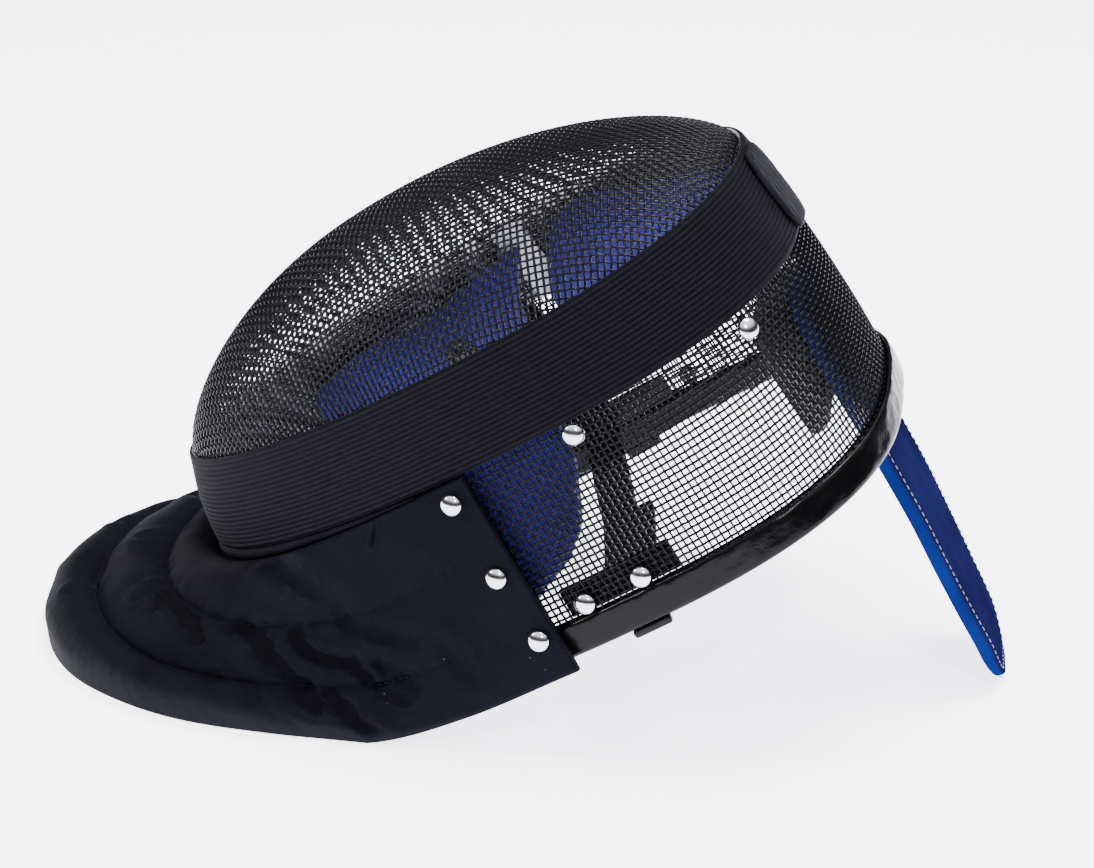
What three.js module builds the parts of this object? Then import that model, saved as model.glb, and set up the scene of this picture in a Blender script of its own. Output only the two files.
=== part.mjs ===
// Fencing mask lying on its rear opening, face mesh up. Millimetres, +Z up.
// The mask frame has u from chin to crown, y from the wearer's left to right and n out through
// the face; the seam of the two wire meshes lies in its plane n = 0. The floor is z = 0.

import * as THREE from 'three';
import { mergeVertices } from 'three/addons/utils/BufferGeometryUtils.js';

// How the mask lies on the floor
const TILT = THREE.MathUtils.degToRad(31.5);
const SEAM_CENTRE = new THREE.Vector3(-38.5, 0, 165.5);

// Wire meshes. All rings round the mask have the same number of sides.
const RING_SIDES = 56;
const MESH_WALL = 2;
const DOME_HEIGHT = 56.5;
const DOME_PEAK_U = -14;
const DOME_POWER = 0.7;
const WIDEST_U = 30;

// Sections of the side wall, from the seam back to the rear opening. The reaches are measured
// along u from the centre of the seam, and the powers say how square each end of the oval is.
const WALL_SECTIONS = [
  { n: 0, half: 96, crown: 143.5, chin: 146.5, crownPower: 2.25, chinPower: 1.95 },
  { n: -20, half: 98.5, crown: 146, chin: 154, crownPower: 2.4, chinPower: 1.95 },
  { n: -45, half: 102, crown: 148.5, chin: 159, crownPower: 2.55, chinPower: 1.95 },
  { n: -90, half: 107.5, crown: 150, chin: 161, crownPower: 2.65, chinPower: 2.0 },
  { n: -135, half: 111, crown: 149, chin: 159, crownPower: 2.75, chinPower: 2.1 },
];

// Rear edge of the side wall: full depth at the crown and the sides, short at the chin
const REAR_DEPTH = 131;
const CHIN_DEPTH = 72;
const SHORTENING_START_U = -24;
const SHORTENING_LENGTH = 100;

// Gap that parts which touch keep, and the wider one of soft parts
const SEAT_GAP = 0.3;
const PAD_GAP = 0.8;

// Elastic band over the seam
const BAND_TOP_N = 2;
const BAND_BOTTOM_N = -41;
const BAND_THICKNESS = 2;

// Binding along the rear edge
const TRIM_DEPTH = 12;
const TRIM_THICKNESS = 2.2;

// Bib. Its rim lies on the floor from the chin round to the sides, then rises to the side edge.
const BIB_EDGE_U = -5;
const BIB_TOP_AT_CHIN = -47.3;
const BIB_TOP_AT_SIDE = -41.8;
const BIB_OFFSET = 4.2;
const BIB_TOP_THICKNESS = 3.4;
const BIB_SIDE_THICKNESS = 3.8;
const BIB_CHIN_THICKNESS = 16;
const HEEL_RISE = 1.5;
const BIB_STEPS = 18;

// Lining: how far down it reaches, as a share of the bib's height, and how many of the bib's
// steps it spans to each side; the bib's inner face has its points at the shares below
const LINING_THICKNESS = 1.3;
const LINING_RIM = 0.78;
const LINING_STEPS = 11;
const INNER_SHARES = [0.92, 0.7, 0.45, 0.2, 0];

// Rim of the bib, a row for each section: share is the share of the way from the chin to the side
// edge, side the distance from the middle plane, bow and puff the swell of the whole section and
// of its rolls, grooveB and grooveA the places of the quilted grooves between top and rim.
const RIM_SECTIONS = [
  { share: 0, x: -238, side: 0, z: 0, bow: 5, puff: 9, grooveB: 0.27, grooveA: 0.67 },
  { share: 0.11, x: -231, side: 37, z: 0, bow: 4.5, puff: 9, grooveB: 0.28, grooveA: 0.69 },
  { share: 0.21, x: -212, side: 67, z: 0, bow: 3, puff: 8.5, grooveB: 0.34, grooveA: 0.73 },
  { share: 0.32, x: -184, side: 88, z: 0, bow: 0, puff: 8.5, grooveB: 0.41, grooveA: 0.78 },
  { share: 0.44, x: -150, side: 102, z: 0, bow: -4, puff: 7.5, grooveB: 0.45, grooveA: 0.79 },
  { share: 0.56, x: -110, side: 108, z: 0, bow: -6, puff: 7, grooveB: 0.46, grooveA: 0.79 },
  { share: 0.7, x: -64, side: 110.5, z: 0, bow: -5, puff: 4.5, grooveB: 0.42, grooveA: 0.77 },
  { share: 0.84, x: -20, side: 114.5, z: 18, bow: -1, puff: 1.5, grooveB: 0.36, grooveA: 0.74 },
  { share: 1, x: 30, side: 118.5, z: 47.5, bow: 1.2, puff: 0.2, grooveB: 0.36, grooveA: 0.74 },
];

// Pads against the inside of the wall, a row for each section: degrees round the wall from the
// crown, plus on the left side, with the depths of the pad's two edges and its thickness
const CHEEK_PAD_LEFT = [
  { degrees: 160, top: -20, bottom: -46, thick: 8 },
  { degrees: 148, top: -12, bottom: -60, thick: 12 },
  { degrees: 131, top: -11, bottom: -90, thick: 14 },
  { degrees: 113, top: -10, bottom: -114, thick: 14 },
  { degrees: 107, top: -10.5, bottom: -106, thick: 14 },
  { degrees: 99, top: -12, bottom: -101, thick: 14 },
  { degrees: 90, top: -18, bottom: -87, thick: 13 },
  { degrees: 83.6, top: -26, bottom: -64, thick: 9 },
  { degrees: 82, top: -34, bottom: -52, thick: 5 },
];
const CHEEK_PAD_RIGHT = [
  { degrees: -158, top: -20, bottom: -45, thick: 8 },
  { degrees: -149, top: -12, bottom: -58, thick: 12 },
  { degrees: -135, top: -15, bottom: -80, thick: 14 },
  { degrees: -118, top: -11, bottom: -102, thick: 14 },
  { degrees: -113, top: -10, bottom: -97, thick: 13 },
  { degrees: -110, top: -10, bottom: -46, thick: 11 },
  { degrees: -106, top: -9.5, bottom: -23, thick: 8 },
  { degrees: -101, top: -9, bottom: -14, thick: 5 },
];
const FOREHEAD_PAD = [
  { degrees: -105, top: -42, bottom: -56, thick: 5 },
  { degrees: -100, top: -23, bottom: -60, thick: 10 },
  { degrees: -88, top: -2.5, bottom: -60, thick: 13 },
  { degrees: -63, top: -8, bottom: -58, thick: 15 },
  { degrees: -38, top: -14, bottom: -54, thick: 16 },
  { degrees: 0, top: -14, bottom: -44, thick: 16 },
  { degrees: 40, top: -14, bottom: -39, thick: 15 },
  { degrees: 70, top: -9, bottom: -39, thick: 12 },
  { degrees: 79, top: -14, bottom: -38, thick: 6 },
];

// Black cushion inside the crown, on the face of the tongue: its outline seen from the side
const CROWN_PAD_HALF_WIDTH = 37;
const CROWN_PAD_OUTLINE = [
  { u: 114, n: -62 },
  { u: 111.5, n: -92 },
  { u: 112, n: -118 },
  { u: 116.5, n: -127 },
  { u: 131.2, n: -107 },
  { u: 131.4, n: -86 },
  { u: 131.6, n: -64 },
  { u: 124, n: -58 },
];

// Pocket between the tongue's root and the crown's wall
const POCKET_HALF_WIDTH = 32;
const POCKET_INNER_U = 141;
const POCKET_TOP_N = -62;
const POCKET_BOTTOM_N = -110;

// Strap across the rear opening, a row for each section from left to right: its two edges along
// u and its depth; its ends lie on the tabs, and between them y gives its place
const STRAP_THICKNESS = 2;
const STRAP_SECTIONS = [
  { end: -1, front: 20, rear: 46, n: -106.5 },
  { end: -1, front: 19, rear: 45, n: -114 },
  { end: 0, y: -96, front: 17, rear: 43, n: -119.5 },
  { end: 0, y: -50, front: 8, rear: 34, n: -124 },
  { end: 0, y: 4, front: -2, rear: 24, n: -127 },
  { end: 0, y: 8, front: -3, rear: 16, n: -127 },
  { end: 0, y: 50, front: -12, rear: 7, n: -125 },
  { end: 0, y: 94, front: -20, rear: -1, n: -119.5 },
  { end: 1, front: -21, rear: -2, n: -114 },
  { end: 1, front: -22, rear: -3, n: -106.5 },
];

// Tabs that hold the strap to the inside of the wall, and the folds of them under the binding
const TAB_THICKNESS = 2;
const TAB_TOP_N = -105;
const TAB_BOTTOM_N = -118.4;
const TABS = [
  { name: 'strap_tab_left', front: 3, rear: 57, side: 1 },
  { name: 'strap_tab_right', front: -25, rear: 30, side: -1 },
];
const KEEPERS = [
  { name: 'strap_keeper_left', front: 24, rear: 42, side: 1 },
  { name: 'strap_keeper_right', front: -8, rear: 10, side: -1 },
];
const KEEPER_HEIGHT = 4;
const KEEPER_WIDTH = 6;

// Patch on the band at the crown
const PATCH_HALF_ANGLE = 0.12;
const PATCH_THICKNESS = 2.4;
const PATCH_OFFSET = 3.1;

// Tongue of leather over a leaf spring: centre line in the middle plane, from root to tip
const TONGUE_LINE = [
  { x: 111, z: 184 },
  { x: 124, z: 160 },
  { x: 140, z: 134 },
  { x: 154, z: 110 },
  { x: 168, z: 86 },
  { x: 180, z: 63 },
  { x: 192, z: 40 },
  { x: 202, z: 21 },
  { x: 211, z: 0.5 },
];
const TONGUE_WIDTH = 70;
const TONGUE_TIP_WIDTH = 40;
const TONGUE_THICKNESS = 7;

// Rivets, mirrored on the right side: those on the wall by u and n, those on the bib by their
// share of its width and of the way down
const RIVET_RADIUS = 4.9;
const RIVET_HEIGHT = 3.4;
const WALL_RIVETS = [
  { name: 'rivet_temple', u: 46, n: -46.8 },
  { name: 'rivet_forehead', u: 125, n: -49 },
  { name: 'rivet_strap_front', u: 12.5, n: -113.6 },
  { name: 'rivet_strap_rear', u: 40, n: -113.4 },
];
const BIB_RIVETS = [
  { name: 'rivet_bib_top', share: 0.935, down: 0.085 },
  { name: 'rivet_bib_middle', share: 0.96, down: 0.465 },
  { name: 'rivet_bib_bottom', share: 0.975, down: 0.8 },
];

function lerp(a, b, t) {
  return a + (b - a) * t;
}

function smooth(t) {
  const c = Math.min(Math.max(t, 0), 1);
  return c * c * (3 - 2 * c);
}

// Values of a table at a place between its rows; key is the column that orders them
function between(rows, key, at) {
  const rising = rows[rows.length - 1][key] > rows[0][key];
  let i = 0;
  while (i < rows.length - 2 && (rising ? rows[i + 1][key] < at : rows[i + 1][key] > at)) {
    i += 1;
  }
  const p = rows[Math.max(i - 1, 0)];
  const a = rows[i];
  const b = rows[i + 1];
  const q = rows[Math.min(i + 2, rows.length - 1)];
  const t = Math.min(Math.max((at - a[key]) / (b[key] - a[key]), 0), 1);
  const out = {};
  for (const column of Object.keys(a)) {
    const span = b[key] - a[key];
    const before = a === p ? b[key] - a[key] : b[key] - p[key];
    const after = b === q ? b[key] - a[key] : q[key] - a[key];
    const slopeA = a === p ? b[column] - a[column] : ((b[column] - p[column]) / before) * span;
    const slopeB = b === q ? b[column] - a[column] : ((q[column] - a[column]) / after) * span;
    const t2 = t * t;
    const t3 = t2 * t;
    out[column] = (2 * t3 - 3 * t2 + 1) * a[column] + (t3 - 2 * t2 + t) * slopeA
      + (3 * t2 - 2 * t3) * b[column] + (t3 - t2) * slopeB;
  }
  return out;
}

// Point of the wall's oval at depth n; angle 0 is the crown, PI the chin
function ovalPoint(angle, n) {
  const s = between(WALL_SECTIONS, 'n', Math.min(n, 0));
  const c = Math.cos(angle);
  const atCrown = c >= 0;
  const reach = atCrown ? s.crown - WIDEST_U : s.chin + WIDEST_U;
  const power = atCrown ? s.crownPower : s.chinPower;
  const along = (Math.abs(c) / reach) ** power;
  const across = (Math.abs(Math.sin(angle)) / s.half) ** power;
  const radius = (along + across) ** (-1 / power);
  return new THREE.Vector2(WIDEST_U + radius * c, -radius * Math.sin(angle));
}

// Point of the side wall, moved outward by offset
function wallPoint(angle, n, offset = 0) {
  const step = 0.01;
  const at = ovalPoint(angle, n);
  const tangent = ovalPoint(angle + step, n).sub(ovalPoint(angle - step, n)).normalize();
  return new THREE.Vector3(at.x - tangent.y * offset, at.y + tangent.x * offset, n);
}

// Angle at which the wall passes u at depth n, on the side where y is negative
function angleAt(u, n) {
  let low = 0;
  let high = Math.PI;
  for (let i = 0; i < 40; i += 1) {
    const middle = (low + high) / 2;
    if (ovalPoint(middle, n).x > u) {
      low = middle;
    } else {
      high = middle;
    }
  }
  return (low + high) / 2;
}

// Depth of the rear edge of the wall
function rearDepth(angle) {
  const u = ovalPoint(angle, -REAR_DEPTH).x;
  return lerp(REAR_DEPTH, CHIN_DEPTH, smooth((SHORTENING_START_U - u) / SHORTENING_LENGTH));
}

const RING_ANGLES = Array.from({ length: RING_SIDES }, (_, i) => (i / RING_SIDES) * 2 * Math.PI);

// Angles from one place to another, with those of the rings on the way
function stepsBetween(from, to) {
  const low = Math.min(from, to);
  const high = Math.max(from, to);
  const whole = RING_ANGLES.map((a) => (a > Math.PI ? a - 2 * Math.PI : a)).sort((a, b) => a - b);
  const margin = 0.02;
  const angles = [low, ...whole.filter((a) => a > low + margin && a < high - margin), high];
  return from < to ? angles : angles.reverse();
}

const maskFrame = new THREE.Matrix4().makeRotationY(-TILT).setPosition(SEAM_CENTRE);

function toFloor(point) {
  return point.clone().applyMatrix4(maskFrame);
}

// Geometry of one closed body from a list of triangles, turned so that its faces point out
function bodyFromTriangles(triangles) {
  let volume = 0;
  for (const [a, b, c] of triangles) {
    volume += a.dot(b.clone().cross(c));
  }
  const positions = [];
  for (const [a, b, c] of triangles) {
    for (const p of volume > 0 ? [a, b, c] : [a, c, b]) {
      positions.push(p.x, p.y, p.z);
    }
  }
  const raw = new THREE.BufferGeometry();
  raw.setAttribute('position', new THREE.Float32BufferAttribute(positions, 3));
  const merged = mergeVertices(raw, 1e-4);
  const index = merged.index.array;
  const kept = [];
  for (let i = 0; i < index.length; i += 3) {
    const [a, b, c] = [index[i], index[i + 1], index[i + 2]];
    if (a !== b && b !== c && a !== c) {
      kept.push(a, b, c);
    }
  }
  merged.setIndex(kept);
  merged.computeVertexNormals();
  return merged;
}

// Triangles between rows of points; each row joins the next, and closed rows join their ends
function joinRows(rows, closedRow, closedColumn) {
  const triangles = [];
  const rowCount = closedColumn ? rows.length : rows.length - 1;
  for (let i = 0; i < rowCount; i += 1) {
    const a = rows[i];
    const b = rows[(i + 1) % rows.length];
    const count = closedRow ? a.length : a.length - 1;
    for (let j = 0; j < count; j += 1) {
      const k = (j + 1) % a.length;
      triangles.push([a[j], b[j], b[k]], [a[j], b[k], a[k]]);
    }
  }
  return triangles;
}

// Flat cap over a closed row of points
function capRow(row, reverse) {
  const normal = new THREE.Vector3();
  for (let i = 0; i < row.length; i += 1) {
    normal.add(row[i].clone().cross(row[(i + 1) % row.length]));
  }
  normal.normalize();
  const side = new THREE.Vector3(1, 0, 0);
  if (Math.abs(normal.x) > 0.8) {
    side.set(0, 1, 0);
  }
  const e1 = side.cross(normal).normalize();
  const e2 = normal.clone().cross(e1);
  const flat = row.map((p) => new THREE.Vector2(p.dot(e1), p.dot(e2)));
  const faces = THREE.ShapeUtils.triangulateShape(flat, []);
  return faces.map(([a, b, c]) => (reverse ? [row[a], row[c], row[b]] : [row[a], row[b], row[c]]));
}

// Solid swept through closed sections: a ring, or a bar with a cap at each end
function sweptBody(sections, ring) {
  const triangles = joinRows(sections, true, ring);
  if (!ring) {
    triangles.push(...capRow(sections[0], false));
    triangles.push(...capRow(sections[sections.length - 1], true));
  }
  return bodyFromTriangles(triangles);
}

function named(name, geometry, material) {
  const mesh = new THREE.Mesh(geometry, material);
  mesh.name = name;
  return mesh;
}

function finish(color, roughness, metalness = 0) {
  return new THREE.MeshStandardMaterial({ color, roughness, metalness });
}

// Domed face mesh: a thin shell whose rings shrink from the seam to the peak
function faceMesh() {
  const rings = [1, 0.985, 0.93, 0.84, 0.72, 0.57, 0.4, 0.2, 0];
  const shell = (r, angle, wall) => {
    const rim = wallPoint(angle, 0, -wall);
    const u = lerp(DOME_PEAK_U, rim.x, r);
    const height = (DOME_HEIGHT - wall) * (1 - r * r) ** DOME_POWER;
    return new THREE.Vector3(u, rim.y * r, height + SEAT_GAP);
  };
  const sections = [];
  for (const angle of RING_ANGLES) {
    const outer = rings.map((r) => shell(r, angle, 0));
    const inner = rings.map((r) => shell(r, angle, MESH_WALL)).reverse();
    sections.push([...outer, ...inner]);
  }
  return named('face_mesh', sweptBody(sections, true), finish(0x15161a, 0.45, 0.6));
}

// Side mesh: a ring of wire cloth from the seam to the rear edge
function sideMesh() {
  const sections = [];
  for (const angle of RING_ANGLES) {
    const depth = rearDepth(angle);
    const depths = [0, depth * 0.11, depth * 0.23, depth * 0.5, depth - TRIM_DEPTH, depth];
    const outer = depths.map((n) => wallPoint(angle, -n, 0));
    const inner = depths.map((n) => wallPoint(angle, -n, -MESH_WALL)).reverse();
    sections.push([...outer, ...inner]);
  }
  return named('side_mesh', sweptBody(sections, true), finish(0x15161a, 0.45, 0.6));
}

// Elastic band round the seam, a little fuller in its middle
function seamBand() {
  const shares = [0, 0.06, 0.35, 0.65, 0.94, 1];
  const fullness = [-1.1, 0, 0.5, 0.5, 0, -1.1];
  const sections = [];
  for (const angle of RING_ANGLES) {
    const point = (t, offset) => {
      const n = lerp(BAND_TOP_N, BAND_BOTTOM_N, t);
      const p = wallPoint(angle, n, offset);
      p.z = n;
      return p;
    };
    const outer = shares.map((t, j) => point(t, SEAT_GAP + BAND_THICKNESS + fullness[j]));
    const inner = shares.map((t) => point(t, SEAT_GAP)).reverse();
    sections.push([...outer, ...inner]);
  }
  return named('seam_band', sweptBody(sections, true), finish(0x121318, 0.85));
}

// Binding folded over the rear edge: a channel with the mesh between its two sides
function edgeTrim() {
  const gap = SEAT_GAP;
  const t = TRIM_THICKNESS;
  const profile = [
    { off: gap, n: 0 },
    { off: gap + t * 0.7, n: 0.4 },
    { off: gap + t, n: -2 },
    { off: gap + t, n: -TRIM_DEPTH + 1.5 },
    { off: gap + t * 0.4, n: -TRIM_DEPTH - t },
    { off: -MESH_WALL - gap - t * 0.4, n: -TRIM_DEPTH - t },
    { off: -MESH_WALL - gap - t, n: -TRIM_DEPTH + 1.5 },
    { off: -MESH_WALL - gap - t, n: -1 },
    { off: -MESH_WALL - gap, n: 0 },
    { off: -MESH_WALL - gap, n: -TRIM_DEPTH - gap },
    { off: gap, n: -TRIM_DEPTH - gap },
  ];
  const sections = [];
  for (const angle of RING_ANGLES) {
    const start = -rearDepth(angle) + TRIM_DEPTH;
    sections.push(profile.map((p) => {
      const at = wallPoint(angle, start + Math.min(p.n, 0), p.off);
      at.z = start + p.n;
      return at;
    }));
  }
  return named('edge_trim', sweptBody(sections, true), finish(0x0b0b0d, 0.25));
}

// Depth of the bib's top edge at a share of the way from the chin (0) to the side edge (1)
function bibTopDepth(share) {
  return lerp(BIB_TOP_AT_CHIN, BIB_TOP_AT_SIDE, smooth(Math.abs(share)));
}

// Angle of the wall under a share of the bib's width; the sign of the share gives the side
function bibAngle(share) {
  const edge = angleAt(BIB_EDGE_U, BIB_TOP_AT_SIDE);
  const angle = lerp(Math.PI, edge, Math.abs(share));
  return share < 0 ? -angle : angle;
}

// Narrow hem between the band and the bib, widest at the chin
function hemPiping() {
  const steps = 28;
  const sections = [];
  for (let i = 0; i <= steps; i += 1) {
    const share = lerp(-0.82, 0.82, i / steps);
    const top = BAND_BOTTOM_N - SEAT_GAP;
    const bottom = bibTopDepth(share) + SEAT_GAP + 0.2;
    const at = (t, offset) => wallPoint(bibAngle(share), lerp(top, bottom, t), offset);
    const outer = [at(0, 1.9), at(0.25, 2.9), at(0.75, 2.9), at(1, 1.9)];
    sections.push([...outer, at(1, SEAT_GAP), at(0, SEAT_GAP)]);
  }
  return named('hem_piping', sweptBody(sections, false), finish(0x101118, 0.8));
}

function rimSection(share) {
  const s = between(RIM_SECTIONS, 'share', Math.abs(share));
  s.side *= -(Math.sign(share) || 1);
  s.z = Math.abs(share) > 0.7 ? Math.max(s.z, 0) : 0;
  return s;
}

// Quilted rolls between the top edge, two grooves and the rim: 0 in a groove, 1 on a roll
function quilting(t, grooveB, grooveA) {
  const marks = [0, grooveB, grooveA, 1];
  let i = 0;
  while (i < 2 && t > marks[i + 1]) {
    i += 1;
  }
  const local = Math.min((t - marks[i]) / (marks[i + 1] - marks[i]), 1);
  return Math.sqrt(Math.max(Math.sin(Math.PI * local), 0));
}

function bibTopPoint(share) {
  return toFloor(wallPoint(bibAngle(share), bibTopDepth(share), BIB_OFFSET));
}

// Frame of the bib at a share of its width: its top, the middle of its rim and the way outward
function bibFrame(share) {
  const rim = rimSection(share);
  const away = Math.abs(share);
  const top = bibTopPoint(share);
  const foot = new THREE.Vector3(rim.x, rim.side, rim.z);
  const thickness = lerp(BIB_CHIN_THICKNESS, BIB_SIDE_THICKNESS, smooth(away * 1.05));
  const down = foot.clone().sub(top).normalize();
  const raised = foot.clone();
  raised.z += lerp(thickness * 0.55, 0.5, smooth((away - 0.7) / 0.3));
  const step = 0.03;
  const ahead = Math.min(share + step, 1);
  const behind = Math.max(share - step, -1);
  const outward = down.clone().cross(bibTopPoint(ahead).sub(bibTopPoint(behind))).normalize();
  return { rim, top, foot, raised, thickness, outward };
}

// Outer surface of the bib
function bibOuter(share, t, f = bibFrame(share)) {
  const fullness = t > f.rim.grooveA ? 1.1 : 0.7;
  const puff = f.rim.puff * fullness * quilting(t, f.rim.grooveB, f.rim.grooveA);
  const swell = f.rim.bow * Math.sin(Math.PI * t) + puff;
  return f.top.clone().lerp(f.raised, t).addScaledVector(f.outward, swell);
}

// Inner surface of the bib, or a surface further in by extra
function bibInner(t, f, extra = 0) {
  const depth = lerp(BIB_TOP_THICKNESS, f.thickness, t) + extra;
  const swell = f.rim.bow * Math.sin(Math.PI * t) - depth;
  return f.top.clone().lerp(f.raised, t).addScaledVector(f.outward, swell);
}

// Closed section of the bib at a share of its width
function bibSection(share) {
  const f = bibFrame(share);
  const { grooveB, grooveA } = f.rim;
  const shares = [0, 0.04];
  for (const t of [0.4, 0.75, 1]) {
    shares.push(grooveB * t);
  }
  for (const t of [0.25, 0.55, 0.8, 1]) {
    shares.push(lerp(grooveB, grooveA, t));
  }
  for (const t of [0.25, 0.5, 0.75, 0.96]) {
    shares.push(lerp(grooveA, 1, t));
  }
  const outer = shares.map((t) => bibOuter(share, t, f));
  const inner = INNER_SHARES.map((t) => bibInner(t, f));
  const flat = f.outward.clone().setZ(0).normalize();
  const heel = f.foot.clone().addScaledVector(flat, -f.thickness * 0.8);
  if (f.rim.z === 0) {
    inner[0].z = Math.max(inner[0].z, HEEL_RISE);
    heel.copy(inner[0]).setZ(0);
  }
  return [...outer, f.foot.clone().addScaledVector(flat, -0.5), heel, ...inner];
}

// Padded, quilted bib from side edge to side edge round the chin
function bib() {
  const sections = [];
  for (let i = -BIB_STEPS; i <= BIB_STEPS; i += 1) {
    sections.push(bibSection(i / BIB_STEPS));
  }
  return named('bib', sweptBody(sections, false), finish(0x0d0f1c, 0.92));
}

// Blue lining over the inside of the bib, with its sections where the bib has them
function bibLining() {
  const shares = [LINING_RIM, ...INNER_SHARES.slice(1, -1)];
  const sections = [];
  for (let i = -LINING_STEPS; i <= LINING_STEPS; i += 1) {
    const f = bibFrame(i / BIB_STEPS);
    const outer = shares.map((t) => bibInner(t, f, PAD_GAP));
    const inner = shares.map((t) => bibInner(t, f, PAD_GAP + LINING_THICKNESS)).reverse();
    sections.push([...outer, ...inner]);
  }
  return named('bib_lining', sweptBody(sections, false), finish(0x2338b0, 0.8));
}

// Foam pad against the inside of the wall, from a table of its sections
function wallPad(name, rows) {
  const sections = [];
  const first = THREE.MathUtils.degToRad(rows[0].degrees);
  const last = THREE.MathUtils.degToRad(rows[rows.length - 1].degrees);
  for (const angle of stepsBetween(first, last)) {
    const r = between(rows, 'degrees', THREE.MathUtils.radToDeg(angle));
    const at = (t, depth) => wallPoint(angle, lerp(r.top, r.bottom, t), -MESH_WALL - depth);
    const back = PAD_GAP;
    sections.push([
      at(0, back), at(0, back + r.thick * 0.55), at(0.12, back + r.thick * 0.9),
      at(0.35, back + r.thick), at(0.65, back + r.thick), at(0.88, back + r.thick * 0.9),
      at(1, back + r.thick * 0.55), at(1, back), at(0.66, back), at(0.33, back),
    ]);
  }
  return named(name, sweptBody(sections, false), finish(0x2439b8, 0.75));
}

// Cushion inside the crown: its side outline, rounded off towards both sides
function crownPad() {
  const sections = [];
  const middle = { u: 124, n: -90 };
  for (const [place, size] of [[-1, 0.8], [-0.92, 0.94], [-0.6, 1], [0, 1], [0.6, 1],
    [0.92, 0.94], [1, 0.8]]) {
    sections.push(CROWN_PAD_OUTLINE.map((p) => new THREE.Vector3(
      lerp(middle.u, p.u, size),
      place * CROWN_PAD_HALF_WIDTH,
      lerp(middle.n, p.n, size),
    )));
  }
  return named('crown_pad', sweptBody(sections, false), finish(0x0c0c10, 0.9));
}

// Pocket that carries the tongue: flat towards the tongue, curved like the wall behind it
function tonguePocket() {
  const sections = [];
  const span = POCKET_HALF_WIDTH / (ovalPoint(0, -90).x - WIDEST_U);
  for (const angle of stepsBetween(-span, span)) {
    const back = (n) => wallPoint(angle, n, -MESH_WALL - PAD_GAP);
    const rows = [POCKET_TOP_N, lerp(POCKET_TOP_N, POCKET_BOTTOM_N, 0.5), POCKET_BOTTOM_N];
    const outer = rows.map(back);
    const inner = outer.map((p) => new THREE.Vector3(POCKET_INNER_U, p.y, p.z)).reverse();
    sections.push([...outer, ...inner]);
  }
  return named('tongue_pocket', sweptBody(sections, false), finish(0x0d0d11, 0.8));
}

// Flat webbing across the rear opening
function rearStrap() {
  const under = -MESH_WALL - PAD_GAP - TAB_THICKNESS - SEAT_GAP;
  const corner = (row, u, face) => {
    if (row.end !== 0) {
      const angle = -row.end * angleAt(u, row.n);
      return wallPoint(angle, row.n, under - (face > 0 ? STRAP_THICKNESS : 0));
    }
    return new THREE.Vector3(u, row.y, row.n + (face * STRAP_THICKNESS) / 2);
  };
  const sections = STRAP_SECTIONS.map((row) => [
    corner(row, row.front, -1),
    corner(row, row.front, 1),
    corner(row, row.rear, 1),
    corner(row, row.rear, -1),
  ]);
  return named('rear_strap', sweptBody(sections, false), finish(0x101014, 0.9));
}

// Sections of a strip along the wall between two places, on the side given
function alongWall(front, rear, side, depth, section) {
  return stepsBetween(side * angleAt(front, depth), side * angleAt(rear, depth)).map(section);
}

function strapTab({ name, front, rear, side }) {
  const back = -MESH_WALL - PAD_GAP;
  const sections = alongWall(front, rear, side, TAB_BOTTOM_N, (angle) => [
    wallPoint(angle, TAB_TOP_N, back),
    wallPoint(angle, TAB_BOTTOM_N, back),
    wallPoint(angle, TAB_BOTTOM_N, back - TAB_THICKNESS),
    wallPoint(angle, TAB_TOP_N, back - TAB_THICKNESS),
  ]);
  return named(name, sweptBody(sections, false), finish(0x0c0c10, 0.7));
}

// Fold of the strap's tab under the binding
function strapKeeper({ name, front, rear, side }) {
  const top = -REAR_DEPTH - TRIM_THICKNESS - SEAT_GAP;
  const bottom = top - KEEPER_HEIGHT;
  const sections = alongWall(front, rear, side, -REAR_DEPTH, (angle) => {
    const at = (offset, n) => wallPoint(angle, -REAR_DEPTH, offset - MESH_WALL / 2).setZ(n);
    return [
      at(-KEEPER_WIDTH / 2, top),
      at(KEEPER_WIDTH / 2, top),
      at(KEEPER_WIDTH / 2 - 1, bottom),
      at(1 - KEEPER_WIDTH / 2, bottom),
    ];
  });
  return named(name, sweptBody(sections, false), finish(0x0c0c10, 0.7));
}

// Patch on the band, with rounded ends
function crownPatch() {
  const sections = [];
  for (let i = 0; i <= 10; i += 1) {
    const place = lerp(-1, 1, i / 10);
    const angle = place * PATCH_HALF_ANGLE;
    const inset = 9 * Math.max(Math.abs(place) - 0.5, 0) ** 2 * 4;
    const top = BAND_TOP_N - 1.5 - inset;
    const bottom = BAND_BOTTOM_N + 1.5 + inset;
    const at = (t, offset) => wallPoint(angle, lerp(top, bottom, t), PATCH_OFFSET + offset);
    sections.push([
      at(0, 0), at(0.03, PATCH_THICKNESS), at(0.35, PATCH_THICKNESS), at(0.65, PATCH_THICKNESS),
      at(0.97, PATCH_THICKNESS), at(1, 0), at(0.65, 0), at(0.35, 0),
    ]);
  }
  return named('crown_patch', sweptBody(sections, false), finish(0x17181f, 0.55));
}

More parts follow.
